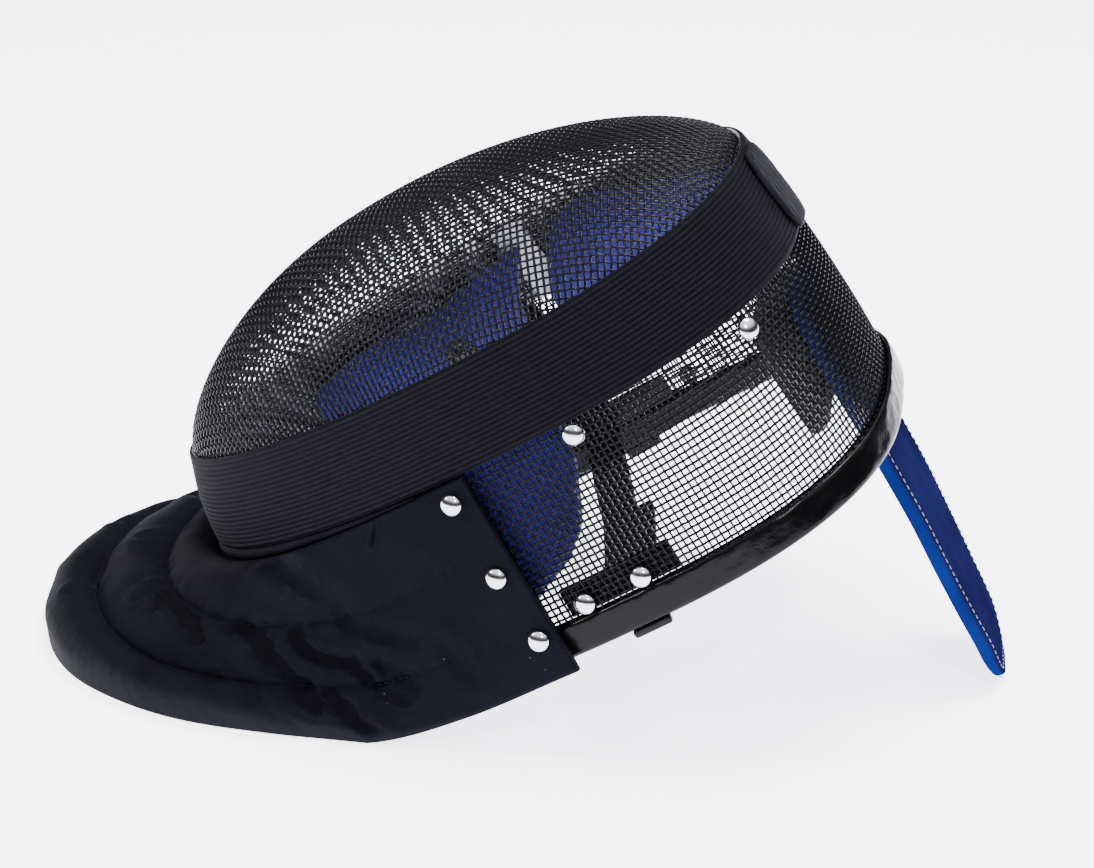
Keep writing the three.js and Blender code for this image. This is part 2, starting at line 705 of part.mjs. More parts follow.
// Domed rivet head, standing on the surface at a point with the given way out
function rivet(name, point, outward) {
  const profile = [[0, 0], [0.86, 0], [1, 0.12], [0.93, 0.42], [0.66, 0.8], [0.3, 0.97], [0, 1]];
  const points = profile.map(([r, h]) => new THREE.Vector2(r * RIVET_RADIUS, h * RIVET_HEIGHT));
  const raw = new THREE.LatheGeometry(points, 12);
  raw.deleteAttribute('normal');
  raw.deleteAttribute('uv');
  const flat = raw.toNonIndexed();
  const triangles = [];
  const p = flat.attributes.position;
  const turn = new THREE.Quaternion().setFromUnitVectors(new THREE.Vector3(0, 1, 0), outward);
  for (let i = 0; i < p.count; i += 3) {
    triangles.push([0, 1, 2].map((k) => new THREE.Vector3().fromBufferAttribute(p, i + k)));
  }
  const mesh = named(name, bodyFromTriangles(triangles), finish(0xc9ccd2, 0.18, 1));
  mesh.position.copy(point);
  mesh.quaternion.copy(turn);
  return mesh;
}

function wallRivets() {
  const heads = [];
  for (const { name, u, n } of WALL_RIVETS) {
    for (const [label, side] of [['left', 1], ['right', -1]]) {
      const angle = side * angleAt(u, n);
      const point = wallPoint(angle, n, SEAT_GAP);
      const outward = wallPoint(angle, n, 1).sub(wallPoint(angle, n, 0));
      const below = wallPoint(angle, n - 5, 0).sub(wallPoint(angle, n + 5, 0)).normalize();
      outward.addScaledVector(below, -outward.dot(below)).normalize();
      heads.push(rivet(`${name}_${label}`, point, outward));
    }
  }
  return heads;
}

function bibRivets() {
  const heads = [];
  const step = 0.02;
  for (const { name, share, down } of BIB_RIVETS) {
    for (const [label, side] of [['left', 1], ['right', -1]]) {
      const at = bibOuter(side * share, down);
      const along = bibOuter(side * (share + step), down).sub(bibOuter(side * (share - step), down));
      const across = bibOuter(side * share, down + step).sub(bibOuter(side * share, down - step));
      const outward = along.cross(across).normalize();
      if (outward.y * side > 0) {
        outward.negate();
      }
      heads.push(rivet(`${name}_${label}`, at.addScaledVector(outward, SEAT_GAP + 0.2), outward));
    }
  }
  return heads;
}

// Tongue: sections across its width, from the root in the crown to the tip on the floor
function tongue() {
  const line = new THREE.CatmullRomCurve3(TONGUE_LINE.map((p) => new THREE.Vector3(p.x, 0, p.z)));
  const steps = 18;
  const sections = [];
  for (let i = 0; i <= steps; i += 1) {
    const t = i / steps;
    const at = line.getPointAt(t);
    const along = line.getTangentAt(t);
    const square = new THREE.Vector3(-along.z, 0, along.x);
    const tip = Math.max((t - 0.86) / 0.14, 0);
    const round = Math.sqrt(Math.max(1 - tip * tip * 0.86, 0));
    const half = 0.5 * lerp(TONGUE_WIDTH, TONGUE_TIP_WIDTH, smooth((t - 0.55) / 0.6)) * round;
    const thick = 0.5 * TONGUE_THICKNESS * lerp(1, 0.6, tip);
    const row = [];
    for (const [w, d] of [[-1, 0], [-0.93, 0.8], [-0.5, 1], [0.5, 1], [0.93, 0.8],
      [1, 0], [0.93, -0.8], [0.5, -1], [-0.5, -1], [-0.93, -0.8]]) {
      const p = at.clone().addScaledVector(square, thick * d);
      p.y = half * w;
      p.z = Math.max(p.z, 0);
      row.push(p);
    }
    sections.push(row);
  }
  return named('tongue', sweptBody(sections, false), finish(0x16295f, 0.4));
}

const mask = new THREE.Group();
mask.rotation.y = -TILT;
mask.position.copy(SEAM_CENTRE);
mask.add(faceMesh(), sideMesh(), seamBand(), hemPiping(), edgeTrim());
mask.add(wallPad('cheek_pad_left', CHEEK_PAD_LEFT));
mask.add(wallPad('cheek_pad_right', CHEEK_PAD_RIGHT));
mask.add(wallPad('forehead_pad', FOREHEAD_PAD));
mask.add(crownPad(), tonguePocket(), crownPatch(), rearStrap());
mask.add(...TABS.map(strapTab), ...KEEPERS.map(strapKeeper), ...wallRivets());

const assembly = new THREE.Group();
assembly.add(mask, bib(), bibLining(), tongue(), ...bibRivets());

// The middle of the outline seen from above is the origin
const extent = new THREE.Box3().setFromObject(assembly);
assembly.position.x = -(extent.min.x + extent.max.x) / 2;

const group = new THREE.Group();
group.add(assembly);

export default group;
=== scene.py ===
import math

import bmesh
import bpy
import numpy as np
from mathutils import Matrix, Vector, noise


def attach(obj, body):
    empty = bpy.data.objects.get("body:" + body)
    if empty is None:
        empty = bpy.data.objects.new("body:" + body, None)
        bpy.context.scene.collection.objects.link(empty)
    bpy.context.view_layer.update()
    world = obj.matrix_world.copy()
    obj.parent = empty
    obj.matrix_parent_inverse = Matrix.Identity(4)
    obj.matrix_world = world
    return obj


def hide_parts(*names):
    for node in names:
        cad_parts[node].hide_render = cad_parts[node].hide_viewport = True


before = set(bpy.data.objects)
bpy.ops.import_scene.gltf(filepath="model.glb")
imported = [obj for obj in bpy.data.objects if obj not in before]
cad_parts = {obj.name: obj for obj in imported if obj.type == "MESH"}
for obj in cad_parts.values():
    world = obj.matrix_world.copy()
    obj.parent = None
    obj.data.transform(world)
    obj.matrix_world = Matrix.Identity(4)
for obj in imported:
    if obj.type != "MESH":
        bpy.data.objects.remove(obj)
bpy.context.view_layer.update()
bpy.ops.object.select_all(action="DESELECT")


# Camera: looks at the mask from a little to its crown side, 24 degrees above the floor.
CENTRE = Vector((0.01275, 0.0, 0.103))
CAMERA_TURN = math.radians(8)
CAMERA_RISE = math.radians(24)
CAMERA_REACH = 1.2
camera_data = bpy.data.cameras.new("camera")
camera_data.sensor_fit = "HORIZONTAL"
camera_data.sensor_width = 36
camera_data.lens = 86.87
camera_data.clip_start = 0.05
camera = bpy.data.objects.new("camera", camera_data)
bpy.context.scene.collection.objects.link(camera)
back = Vector((
    math.sin(CAMERA_TURN) * math.cos(CAMERA_RISE),
    -math.cos(CAMERA_TURN) * math.cos(CAMERA_RISE),
    math.sin(CAMERA_RISE),
))
camera.location = CENTRE + back * CAMERA_REACH
camera.rotation_euler = (-back).to_track_quat("-Z", "Y").to_euler()
bpy.context.scene.camera = camera


# Studio: a pale matt floor under a broad bright ceiling that fades to dark at eye level, with
# one large soft lamp above and behind the mask and two small ones, from the left and the front.
# The floor is lit from within as well, to come near the photograph's white.
def srgb(code):
    parts = [int(code[i:i + 2], 16) / 255 for i in (1, 3, 5)]
    linear = [p / 12.92 if p <= 0.04045 else ((p + 0.055) / 1.055) ** 2.4 for p in parts]
    return (*linear, 1.0)


def add_node(tree, kind, settings=None, **inputs):
    """One shader node with its settings, and its inputs set or linked"""
    node = tree.nodes.new("ShaderNode" + kind)
    for name, value in (settings or {}).items():
        setattr(node, name, value)
    for name, value in inputs.items():
        key = name.replace("_", " ")
        numbered = key[0] == "i" and key[1:].isdigit()
        socket = node.inputs[int(key[1:]) if numbered else key]
        if isinstance(value, bpy.types.NodeSocket):
            tree.links.new(value, socket)
        else:
            socket.default_value = value
    return node


def new_material(name, **values):
    """A material whose main shader takes the plain values given, and the tree to add to"""
    material = bpy.data.materials.new(name)
    material.use_nodes = True
    shader = material.node_tree.nodes["Principled BSDF"]
    for key, value in values.items():
        shader.inputs[key.replace("_", " ")].default_value = value
    return material, material.node_tree, shader


def coords(tree, kind):
    return add_node(tree, "TexCoord").outputs[kind]


def texture(tree, kind, vector, settings=None, output="Fac", **inputs):
    return add_node(tree, "Tex" + kind, settings, Vector=vector, **inputs).outputs[output]


def scaled_sum(tree, value, factor, added):
    """value times factor plus added"""
    return add_node(tree, "Math", {"operation": "MULTIPLY_ADD"},
                    i0=value, i1=factor, i2=added).outputs["Value"]


def ramp(tree, value, dark, pale, low=0.0, high=1.0):
    """The colour between dark and pale that a value from low to high stands for"""
    node = add_node(tree, "ValToRGB", Fac=value)
    for element, place, colour in zip(node.color_ramp.elements[:], (low, high), (dark, pale)):
        element.position = place
        element.color = srgb(colour)
    return node.outputs["Color"]


def mixed_colour(tree, factor, first, second):
    """Two colours or sockets, mixed"""
    node = add_node(tree, "Mix", {"data_type": "RGBA"}, Factor=factor, i6=first, i7=second)
    return node.outputs[2]


def finish_surface(tree, shader, colour=None, gloss=None, bump=None):
    """Links a colour, roughness (value, least, most) and bump (strength, depth, height)"""
    if colour is not None:
        tree.links.new(colour, shader.inputs["Base Color"])
    if gloss is not None:
        node = add_node(tree, "MapRange", Value=gloss[0], To_Min=gloss[1], To_Max=gloss[2])
        tree.links.new(node.outputs["Result"], shader.inputs["Roughness"])
    if bump is not None:
        node = add_node(tree, "Bump", Strength=bump[0], Distance=bump[1], Height=bump[2])
        tree.links.new(node.outputs["Normal"], shader.inputs["Normal"])


FLOOR_SIZE = 14.0
FLOOR_DROP = 0.0003
bpy.ops.mesh.primitive_plane_add(size=FLOOR_SIZE, location=(0, 0, -FLOOR_DROP))
floor = bpy.context.object
floor.name = "floor"
floor_paper, tree, shader = new_material(
    "floor_paper", Base_Color=srgb("#F8F8FC"), Roughness=0.85, Specular_IOR_Level=0.1,
    Emission_Color=srgb("#F4F4FF"), Emission_Strength=3.4)
floor.data.materials.append(floor_paper)

world = bpy.data.worlds.new("studio")
bpy.context.scene.world = world
world.use_nodes = True
background = world.node_tree.nodes["Background"]
background.inputs["Color"].default_value = srgb("#F6F6FC")
height = add_node(world.node_tree, "SeparateXYZ",
                  Vector=coords(world.node_tree, "Generated")).outputs["Z"]
glow = add_node(world.node_tree, "MapRange", {"interpolation_type": "SMOOTHSTEP"},
                Value=height, From_Min=0.3, From_Max=0.85, To_Min=0.08, To_Max=2.2)
world.node_tree.links.new(glow.outputs["Result"], background.inputs["Strength"])

for name, place, size, power in (
    ("lamp_top", (0.3, 0.3, 1.7), 0.7, 48),
    ("lamp_left", (-1.5, -0.4, 1.3), 0.18, 34),
    ("lamp_front", (0.6, -1.3, 1.5), 0.14, 26),
):
    lamp_data = bpy.data.lights.new(name, "AREA")
    lamp_data.shape = "SQUARE"
    lamp_data.size = size
    lamp_data.energy = power
    lamp = bpy.data.objects.new(name, lamp_data)
    bpy.context.scene.collection.objects.link(lamp)
    lamp.location = place
    lamp.rotation_euler = (CENTRE - Vector(place)).to_track_quat("-Z", "Y").to_euler()


# Face mesh: steel wire woven one over one, pressed into a dome that bulges out of the seam.
# Its wires run from chin to crown and across, and are coated black. All the shell's sizes are in
# millimetres in the mask's own frame: u from chin to crown, y left to right, n out of the face.
TILT = math.radians(31.5)
EXPORT_SHIFT_X = 12.7661
SEAM_CENTRE = (-38.5 + EXPORT_SHIFT_X, 0.0, 165.5)
WALL_ROWS = np.array([
    # n, half width, crown reach, chin reach, crown power, chin power
    (-135, 111, 149, 159, 2.75, 2.1),
    (-90, 107.5, 150, 161, 2.65, 2.0),
    (-45, 102, 148.5, 159, 2.55, 1.95),
    (-20, 98.5, 146, 154, 2.4, 1.95),
    (0, 96, 143.5, 146.5, 2.25, 1.95),
])
WIDEST_U = 30.0
MESH_WALL = 2.0
SHELL_LIFT = 0.3
DOME_HEIGHT = 56.5
DOME_PEAK_U = -14.0
DOME_POWER = 0.7
WIRE_PITCH = 2.9
WIRE_RADIUS = 0.56


def between(rows, at):
    """Smooth values of a table at places of its first column, which rises"""
    key = rows[:, 0]
    at = np.clip(at, key[0], key[-1])
    i = np.clip(np.searchsorted(key, at, side="left") - 1, 0, len(rows) - 2)
    before, after = np.maximum(i - 1, 0), np.minimum(i + 2, len(rows) - 1)
    a, b, p, q = rows[i], rows[i + 1], rows[before], rows[after]
    span = (b - a)[..., :1]
    t = (at[..., None] - a[..., :1]) / span
    first, last = (i == before)[..., None], (i + 1 == after)[..., None]
    slope_a = np.where(first, b - a, (b - p) / (b - p)[..., :1] * span)
    slope_b = np.where(last, b - a, (q - a) / (q - a)[..., :1] * span)
    t2, t3 = t * t, t * t * t
    out = ((2 * t3 - 3 * t2 + 1) * a + (t3 - 2 * t2 + t) * slope_a
           + (3 * t2 - 2 * t3) * b + (t3 - t2) * slope_b)
    return out[..., 1:]


def oval_point(angle, n):
    row = between(WALL_ROWS, np.minimum(n, 0.0) + 0.0 * angle)
    half, crown, chin, crown_power, chin_power = np.moveaxis(row, -1, 0)
    c, s = np.cos(angle), np.sin(angle)
    reach = np.where(c >= 0, crown - WIDEST_U, chin + WIDEST_U)
    power = np.where(c >= 0, crown_power, chin_power)
    radius = ((abs(c) / reach) ** power + (abs(s) / half) ** power) ** (-1 / power)
    return WIDEST_U + radius * c, -radius * s


def wall_point(angle, n, offset=0.0, height=None):
    """Points of the side wall, moved outward by offset; angle 0 is the crown, pi the chin"""
    angle, n, offset = np.broadcast_arrays(
        np.asarray(angle, float), np.asarray(n, float), np.asarray(offset, float))
    u, y = oval_point(angle, n)
    u1, y1 = oval_point(angle + 0.01, n)
    u0, y0 = oval_point(angle - 0.01, n)
    length = np.hypot(u1 - u0, y1 - y0)
    du, dy = (u1 - u0) / length, (y1 - y0) / length
    return np.stack([u - dy * offset, y + du * offset, n if height is None else height + 0 * n], -1)


def to_room(points):
    """Millimetres in the mask's frame to metres in the room"""
    u, y, n = np.moveaxis(np.asarray(points, float), -1, 0)
    x = SEAM_CENTRE[0] + u * math.cos(TILT) - n * math.sin(TILT)
    z = SEAM_CENTRE[2] + u * math.sin(TILT) + n * math.cos(TILT)
    return np.stack([x, y + SEAM_CENTRE[1], z], -1) / 1000


def mesh_object(name, verts, faces, material, uvs=None):
    """A finished piece from its points and faces, smooth, with a UV map in millimetres"""
    mesh = bpy.data.meshes.new(name)
    verts = np.asarray(verts, np.float32).reshape(-1, 3)
    faces = np.asarray(faces, np.int32)
    mesh.vertices.add(len(verts))
    mesh.vertices.foreach_set("co", verts.ravel())
    sides = faces.shape[1]
    mesh.loops.add(faces.size)
    mesh.loops.foreach_set("vertex_index", faces.ravel())
    mesh.polygons.add(len(faces))
    mesh.polygons.foreach_set("loop_start", np.arange(0, faces.size, sides, dtype=np.int32))
    mesh.polygons.foreach_set("use_smooth", np.ones(len(faces), bool))
    if uvs is not None:
        layer = mesh.uv_layers.new(name="cloth_mm")
        layer.data.foreach_set("uv", np.asarray(uvs, np.float32)[faces.ravel()].ravel())
    mesh.update(calc_edges=True)
    mesh.validate()
    mesh.materials.append(material)
    piece = bpy.data.objects.new(name, mesh)
    bpy.context.scene.collection.objects.link(piece)
    return piece


def wires(name, paths, radius, material):
    """Many wires, each a run of points, as one mesh of four-sided tubes with closed ends"""
    all_verts, all_faces, start = [], [], 0
    for path in paths:
        along = np.gradient(path, axis=0)
        along /= np.linalg.norm(along, axis=1)[:, None]
        up = path - np.array([SEAM_CENTRE[0] / 1000, 0, 0.02])
        side = np.cross(along, up)
        side /= np.linalg.norm(side, axis=1)[:, None]
        over = np.cross(side, along)
        ring = np.stack([path + side * radius, path + over * radius,
                         path - side * radius, path - over * radius], 1)
        count = len(path)
        all_verts.append(ring.reshape(-1, 3))
        j = np.arange(count - 1)[:, None] * 4
        k = np.arange(4)[None, :]
        m = (k + 1) % 4
        quads = np.stack([j + k, j + m, j + 4 + m, j + 4 + k], -1).reshape(-1, 4)
        last = (count - 1) * 4
        caps = np.array([[3, 2, 1, 0], [last, last + 1, last + 2, last + 3]])
        all_faces.append(np.concatenate([quads, caps]) + start)
        start += count * 4
    return mesh_object(name, np.concatenate(all_verts), np.concatenate(all_faces), material)


def ride_as(piece, slot, *nodes):
    if nodes:
        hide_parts(*nodes)
    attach(piece, "root")


# Steel wire, woven and then coated with black enamel: dark, with a small sharp light on each bend.
coated_wire, tree, shader = new_material(
    "black_enamelled_wire", Base_Color=srgb("#040406"), Roughness=0.22, Specular_IOR_Level=0.1)
patchy = texture(tree, "Noise", coords(tree, "Object"), Scale=900.0, Detail=3.0)
finish_surface(tree, shader, ramp(tree, patchy, "#030305", "#0C0C12"), gloss=(patchy, 0.14, 0.28))


# Meridians of the dome from its peak to the seam, and how far along them each ring lies
RIM_ANGLES = np.linspace(-math.pi, math.pi, 721)
RINGS = np.sin(np.linspace(0, math.pi / 2, 240))
rim = wall_point(RIM_ANGLES, 0.0)
dome = np.stack([
    DOME_PEAK_U + RINGS[None, :] * (rim[:, None, 0] - DOME_PEAK_U),
    RINGS[None, :] * rim[:, None, 1],
    DOME_HEIGHT * np.clip(1 - RINGS[None, :] ** 2, 0, 1) ** DOME_POWER
    + 0 * rim[:, None, 0] + SHELL_LIFT,
], -1)
steps = np.linalg.norm(np.diff(dome, axis=1), axis=2)
meridian = np.concatenate([np.zeros((len(steps), 1)), np.cumsum(steps, axis=1)], 1)
bearing = np.unwrap(np.arctan2(-rim[:, 1], rim[:, 0] - DOME_PEAK_U))
FLAT_SHRINK = 0.93
DOME_LINES = 62
DOME_WEAVE = 0.55 * WIRE_RADIUS


def dome_point(flat_u, flat_y, lift):
    """The dome's point for a place on the flat sheet of wire cloth that it was pressed from"""
    reach = np.hypot(flat_u, flat_y)
    way = np.arctan2(-flat_y, flat_u)
    index = np.interp(way, bearing, np.arange(len(bearing)))
    i = np.clip(index.astype(int), 0, len(bearing) - 2)
    f = (index - i)[:, None]
    lengths = meridian[i] * (1 - f) + meridian[i + 1] * f
    total = lengths[:, -1]
    inside = reach / FLAT_SHRINK < total - 0.3
    out = np.zeros((len(reach), 3))
    for s in np.nonzero(inside)[0]:
        k = np.searchsorted(lengths[s], reach[s] / FLAT_SHRINK)
        k = min(max(k, 1), len(RINGS) - 1)
        g = (reach[s] / FLAT_SHRINK - lengths[s, k - 1]) / (lengths[s, k] - lengths[s, k - 1])
        a = dome[i[s], k - 1] * (1 - g) + dome[i[s], k] * g
        b = dome[i[s] + 1, k - 1] * (1 - g) + dome[i[s] + 1, k] * g
        out[s] = a * (1 - f[s]) + b * f[s]
    outward = out - np.array([DOME_PEAK_U, 0, -60.0])
    outward /= np.linalg.norm(outward, axis=1)[:, None]
    return out + outward * (lift - MESH_WALL / 2)[:, None], inside


def dome_wires(across):
    paths = []
    run = np.arange(-2 * DOME_LINES, 2 * DOME_LINES + 1)
    along = run * WIRE_PITCH / 2
    for line in range(-DOME_LINES, DOME_LINES + 1):
        fixed = line * WIRE_PITCH
        lift = DOME_WEAVE * np.cos(np.pi * (run / 2 + line + (1 if across else 0)))
        u, y = (np.full(len(run), fixed), along) if across else (along, np.full(len(run), fixed))
        points, inside = dome_point(u, y, lift)
        keep = np.nonzero(inside)[0]
        if len(keep) > 4:
            paths.append(to_room(points[keep[0]:keep[-1] + 1]))
    return paths


FACE_WIRE_RADIUS = 0.61
face_warp = wires("face_wires_long", dome_wires(False), FACE_WIRE_RADIUS / 1000, coated_wire)
face_weft = wires("face_wires_cross", dome_wires(True), FACE_WIRE_RADIUS / 1000, coated_wire)
for piece in (face_warp, face_weft):
    ride_as(piece, "wire_mesh", "face_mesh")


# Side mesh: the same wire cloth, wrapped round from chin to crown. One set of wires runs
# round the mask, parallel to the band, and the other from the seam down to the rear edge.
REAR_DEPTH = 131.0
CHIN_DEPTH = 72.0
SHORTENING_START_U = -24.0
SHORTENING_LENGTH = 100.0
FIRST_WIRE_DEPTH = 0.6
REAR_MARGIN = 2.0
SIDE_WEAVE = 0.3


def smooth(t):
    t = np.clip(t, 0, 1)
    return t * t * (3 - 2 * t)


def rear_depth(angle):
    u = oval_point(np.asarray(angle, float), np.full(np.shape(angle), -REAR_DEPTH))[0]
    shorter = smooth((SHORTENING_START_U - u) / SHORTENING_LENGTH)
    return REAR_DEPTH + (CHIN_DEPTH - REAR_DEPTH) * shorter


# Angles at equal steps of length round the wall, measured half way down
fine = np.linspace(0, 2 * math.pi, 4001)
ring = wall_point(fine, -70.0)
girth = np.concatenate([[0], np.cumsum(np.linalg.norm(np.diff(ring, axis=0), axis=1))])
WIRES_ROUND = int(round(girth[-1] / WIRE_PITCH / 2)) * 2
half_steps = np.interp(
    np.arange(2 * WIRES_ROUND + 1) / (2 * WIRES_ROUND) * girth[-1], girth, fine)

round_paths = []
for line in range(int(REAR_DEPTH / WIRE_PITCH) + 1):
    depth = FIRST_WIRE_DEPTH + line * WIRE_PITCH
    run = np.arange(2 * WIRES_ROUND + 1)
    lift = SIDE_WEAVE * np.cos(np.pi * (run / 2 + line)) - MESH_WALL / 2
    points = to_room(wall_point(half_steps, -depth, lift))
    inside = depth < rear_depth(half_steps) - REAR_MARGIN
    if inside.all():
        round_paths.append(points)
    else:
        keep = np.nonzero(inside)[0]
        breaks = np.nonzero(np.diff(keep) > 1)[0]
        for part in np.split(keep, breaks + 1):
            if len(part) > 3:
                round_paths.append(points[part])
down_paths = []
for line in range(WIRES_ROUND):
    angle = half_steps[2 * line]
    deepest = rear_depth(np.array([angle]))[0] - REAR_MARGIN
    run = np.arange(int(deepest / (WIRE_PITCH / 2)))
    depth = FIRST_WIRE_DEPTH + run * WIRE_PITCH / 2
    lift = SIDE_WEAVE * np.cos(np.pi * (run / 2 + line + 1)) - MESH_WALL / 2
    down_paths.append(to_room(wall_point(angle, -depth, lift)))
side_round = wires("side_wires_round", round_paths, WIRE_RADIUS / 1000, coated_wire)
side_down = wires("side_wires_down", down_paths, WIRE_RADIUS / 1000, coated_wire)
for piece in (side_round, side_down):
    ride_as(piece, "wire_mesh", "side_mesh")


# Seam band: black elastic webbing stretched over the joint of the two meshes, woven with
# twenty ribs along its length.
BAND_TOP_N = 2.0
BAND_BOTTOM_N = -41.0
BAND_THICKNESS = 2.0
SEAT_GAP = 0.3
RIB_PITCH = 2.15
THREAD_PITCH = 0.9
FACING_FROM = 43.5
FACING_ROWS = [44, 46, 48]


def uv_grid(rows, columns):
    return np.stack(np.meshgrid(rows, columns, indexing="ij"), -1)


def mend_faces(piece, open_ends=False):
    """Closes open ends, turns all faces outward and shades them smooth"""
    work = bmesh.new()
    work.from_mesh(piece.data)
    if open_ends:
        bmesh.ops.holes_fill(work, edges=[e for e in work.edges if e.is_boundary])
    bmesh.ops.recalc_face_normals(work, faces=work.faces)
    for face in work.faces:
        face.smooth = True
    work.to_mesh(piece.data)
    work.free()


def swept(name, grid, material, uvs=None, ring=True, closed_row=True):
    """A piece from rows of points; each row is a closed section, and a ring joins its ends"""
    rows, cols = grid.shape[:2]
    i = np.arange(rows if ring else rows - 1)[:, None]
    j = np.arange(cols if closed_row else cols - 1)[None, :]
    a, b = i * cols + j, i * cols + (j + 1) % cols
    c, d = ((i + 1) % rows) * cols + (j + 1) % cols, ((i + 1) % rows) * cols + j
    quads = np.stack([a + 0 * c, b + 0 * c, c, d], -1).reshape(-1, 4)
    flat = grid.reshape(-1, 3)
    piece = mesh_object(name, flat, quads, material, None if uvs is None else uvs.reshape(-1, 2))
    mend_faces(piece, open_ends=not ring)
    return piece


steps_round = np.arange(360) / 360 * 2 * math.pi
length_round = np.interp(steps_round, fine, girth)
across = np.concatenate([[0, 0.012], np.linspace(0.04, 0.96, 121), [0.988, 1]])
fullness = np.interp(across, [0, 0.012, 0.04, 0.35, 0.65, 0.96, 0.988, 1],
                     [-1.3, -0.5, 0, 0.35, 0.35, 0, -0.5, -1.3])
ribs = 0.16 * np.cos(2 * math.pi * across * (BAND_TOP_N - BAND_BOTTOM_N) / RIB_PITCH)
band_n = BAND_TOP_N + (BAND_BOTTOM_N - BAND_TOP_N) * across
wander = 0.35 * np.sin(7 * steps_round + 0.6) + 0.25 * np.sin(17 * steps_round)
n_outer = band_n[None, :] + wander[:, None] * np.sin(math.pi * across)[None, :] * 0.4
outer = wall_point(steps_round[:, None], n_outer,
                   SEAT_GAP + BAND_THICKNESS + fullness + ribs, n_outer)
inner_n = np.array([BAND_BOTTOM_N + 0.3, -20.0, BAND_TOP_N - 0.3]) + 0 * steps_round[:, None]
inner = wall_point(steps_round[:, None], inner_n, SEAT_GAP, inner_n)
band_grid = to_room(np.concatenate([outer, inner], 1))
band_uv = uv_grid(length_round, np.concatenate([-band_n, FACING_ROWS]))

# Elastic webbing, woven from black polyester over rubber: matt, with fine cross threads
webbing, tree, shader = new_material(
    "black_elastic_webbing", Base_Color=srgb("#08080C"), Roughness=0.75, Specular_IOR_Level=0.05)
cloth = coords(tree, "UV")
threads = add_node(tree, "Mapping", Vector=cloth, Scale=(1 / THREAD_PITCH, 0.15, 1))
weft = texture(tree, "Wave", threads.outputs["Vector"], {"bands_direction": "X"},
               Scale=1.57 / 3.1416, Distortion=2.0, Detail=2.0)
lines = add_node(tree, "Mapping", Vector=cloth, Scale=(0.02, 1 / RIB_PITCH, 1)).outputs["Vector"]
row = add_node(tree, "SeparateXYZ", Vector=lines).outputs["Y"]
turn = add_node(tree, "Math", {"operation": "MULTIPLY"}, i0=row, i1=2 * math.pi).outputs["Value"]
rib = add_node(tree, "Math", {"operation": "COSINE"}, i0=turn).outputs["Value"]
mixed = scaled_sum(tree, rib, 0.3, texture(tree, "Noise", lines, Scale=6.0, Detail=4.0))
# The side against the wire is faced with undyed cloth
down = add_node(tree, "SeparateXYZ", Vector=cloth).outputs["Y"]
behind = add_node(tree, "Math", {"operation": "GREATER_THAN"}, i0=down, i1=FACING_FROM)
colour = mixed_colour(tree, behind.outputs["Value"],
                      ramp(tree, mixed, "#020203", "#100F18", 0.25, 0.85), srgb("#D8D8DC"))
finish_surface(tree, shader, colour, bump=(0.6, 0.0003, scaled_sum(tree, weft, 0.35, mixed)))

band = swept("seam_band_webbing", band_grid, webbing, band_uv)
ride_as(band, "band_elastic", "seam_band")


# Bib: navy cloth over padding, from the side edge under the left temple round the chin to
# the other side. Two quilted seams part it into three rolls, and its rim lies on the floor.
BIB_EDGE_U = -5.0
BIB_TOP_AT_CHIN = -47.3
BIB_TOP_AT_SIDE = -41.8
BIB_OFFSET = 4.2
BIB_TOP_THICKNESS = 3.4
BIB_SIDE_THICKNESS = 3.8
BIB_CHIN_THICKNESS = 16.0
HEEL_RISE = 1.5
RIM_ROWS = np.array([
    # share of the way from chin to side edge, x, distance from the middle, height, bow, puff,
    # share of the way down of the inner and the outer quilted seam
    (0, -238, 0, 0, 5, 9, 0.27, 0.67),
    (0.11, -231, 37, 0, 4.5, 9, 0.28, 0.69),
    (0.21, -212, 67, 0, 3, 8.5, 0.34, 0.73),
    (0.32, -184, 88, 0, 0, 8.5, 0.41, 0.78),
    (0.44, -150, 102, 0, -4, 7.5, 0.45, 0.79),
    (0.56, -110, 108, 0, -6, 7, 0.46, 0.79),
    (0.7, -64, 110.5, 0, -5, 4.5, 0.42, 0.77),
    (0.84, -20, 114.5, 18, -1, 1.5, 0.36, 0.74),
    (1, 30, 118.5, 47.5, 1.2, 0.2, 0.36, 0.74),
])
BIB_HALF_LENGTH = 340.0


def angle_at(u, n):
    """The wall's angle at a place u from chin to crown, at height n"""
    around = np.linspace(0, math.pi, 2001)
    return float(np.interp(-u, -oval_point(around, np.full(2001, float(n)))[0], around))


EDGE_ANGLE = angle_at(BIB_EDGE_U, BIB_TOP_AT_SIDE)


def unit(v):
    return v / np.linalg.norm(v, axis=-1)[..., None]


def bib_top(share, offset=BIB_OFFSET):
    away = abs(share)
    angle = (math.pi + (EDGE_ANGLE - math.pi) * away) * np.where(share < 0, -1, 1)
    depth = BIB_TOP_AT_CHIN + (BIB_TOP_AT_SIDE - BIB_TOP_AT_CHIN) * smooth(away)
    return to_room(wall_point(angle, depth, offset)) * 1000


def bib_frame(share):
    """Top, rim, raised rim and outward way of the bib, and its table's values, at each share"""
    away = abs(share)
    rim = between(RIM_ROWS, away)
    height = np.where(away > 0.7, np.maximum(rim[:, 2], 0), 0)
    side = -np.where(share < 0, -1, 1) * rim[:, 1]
    foot = np.stack([rim[:, 0] + EXPORT_SHIFT_X, side, height], -1)
    thick = BIB_CHIN_THICKNESS + (BIB_SIDE_THICKNESS - BIB_CHIN_THICKNESS) * smooth(away * 1.05)
    top = bib_top(share)
    raised = foot.copy()
    lift = smooth((away - 0.7) / 0.3)
    raised[:, 2] += thick * 0.55 * (1 - lift) + 0.5 * lift
    ahead, behind = bib_top(np.minimum(share + 0.03, 1)), bib_top(np.maximum(share - 0.03, -1))
    outward = unit(np.cross(unit(foot - top), ahead - behind))
    return top, foot, raised, thick, outward, rim


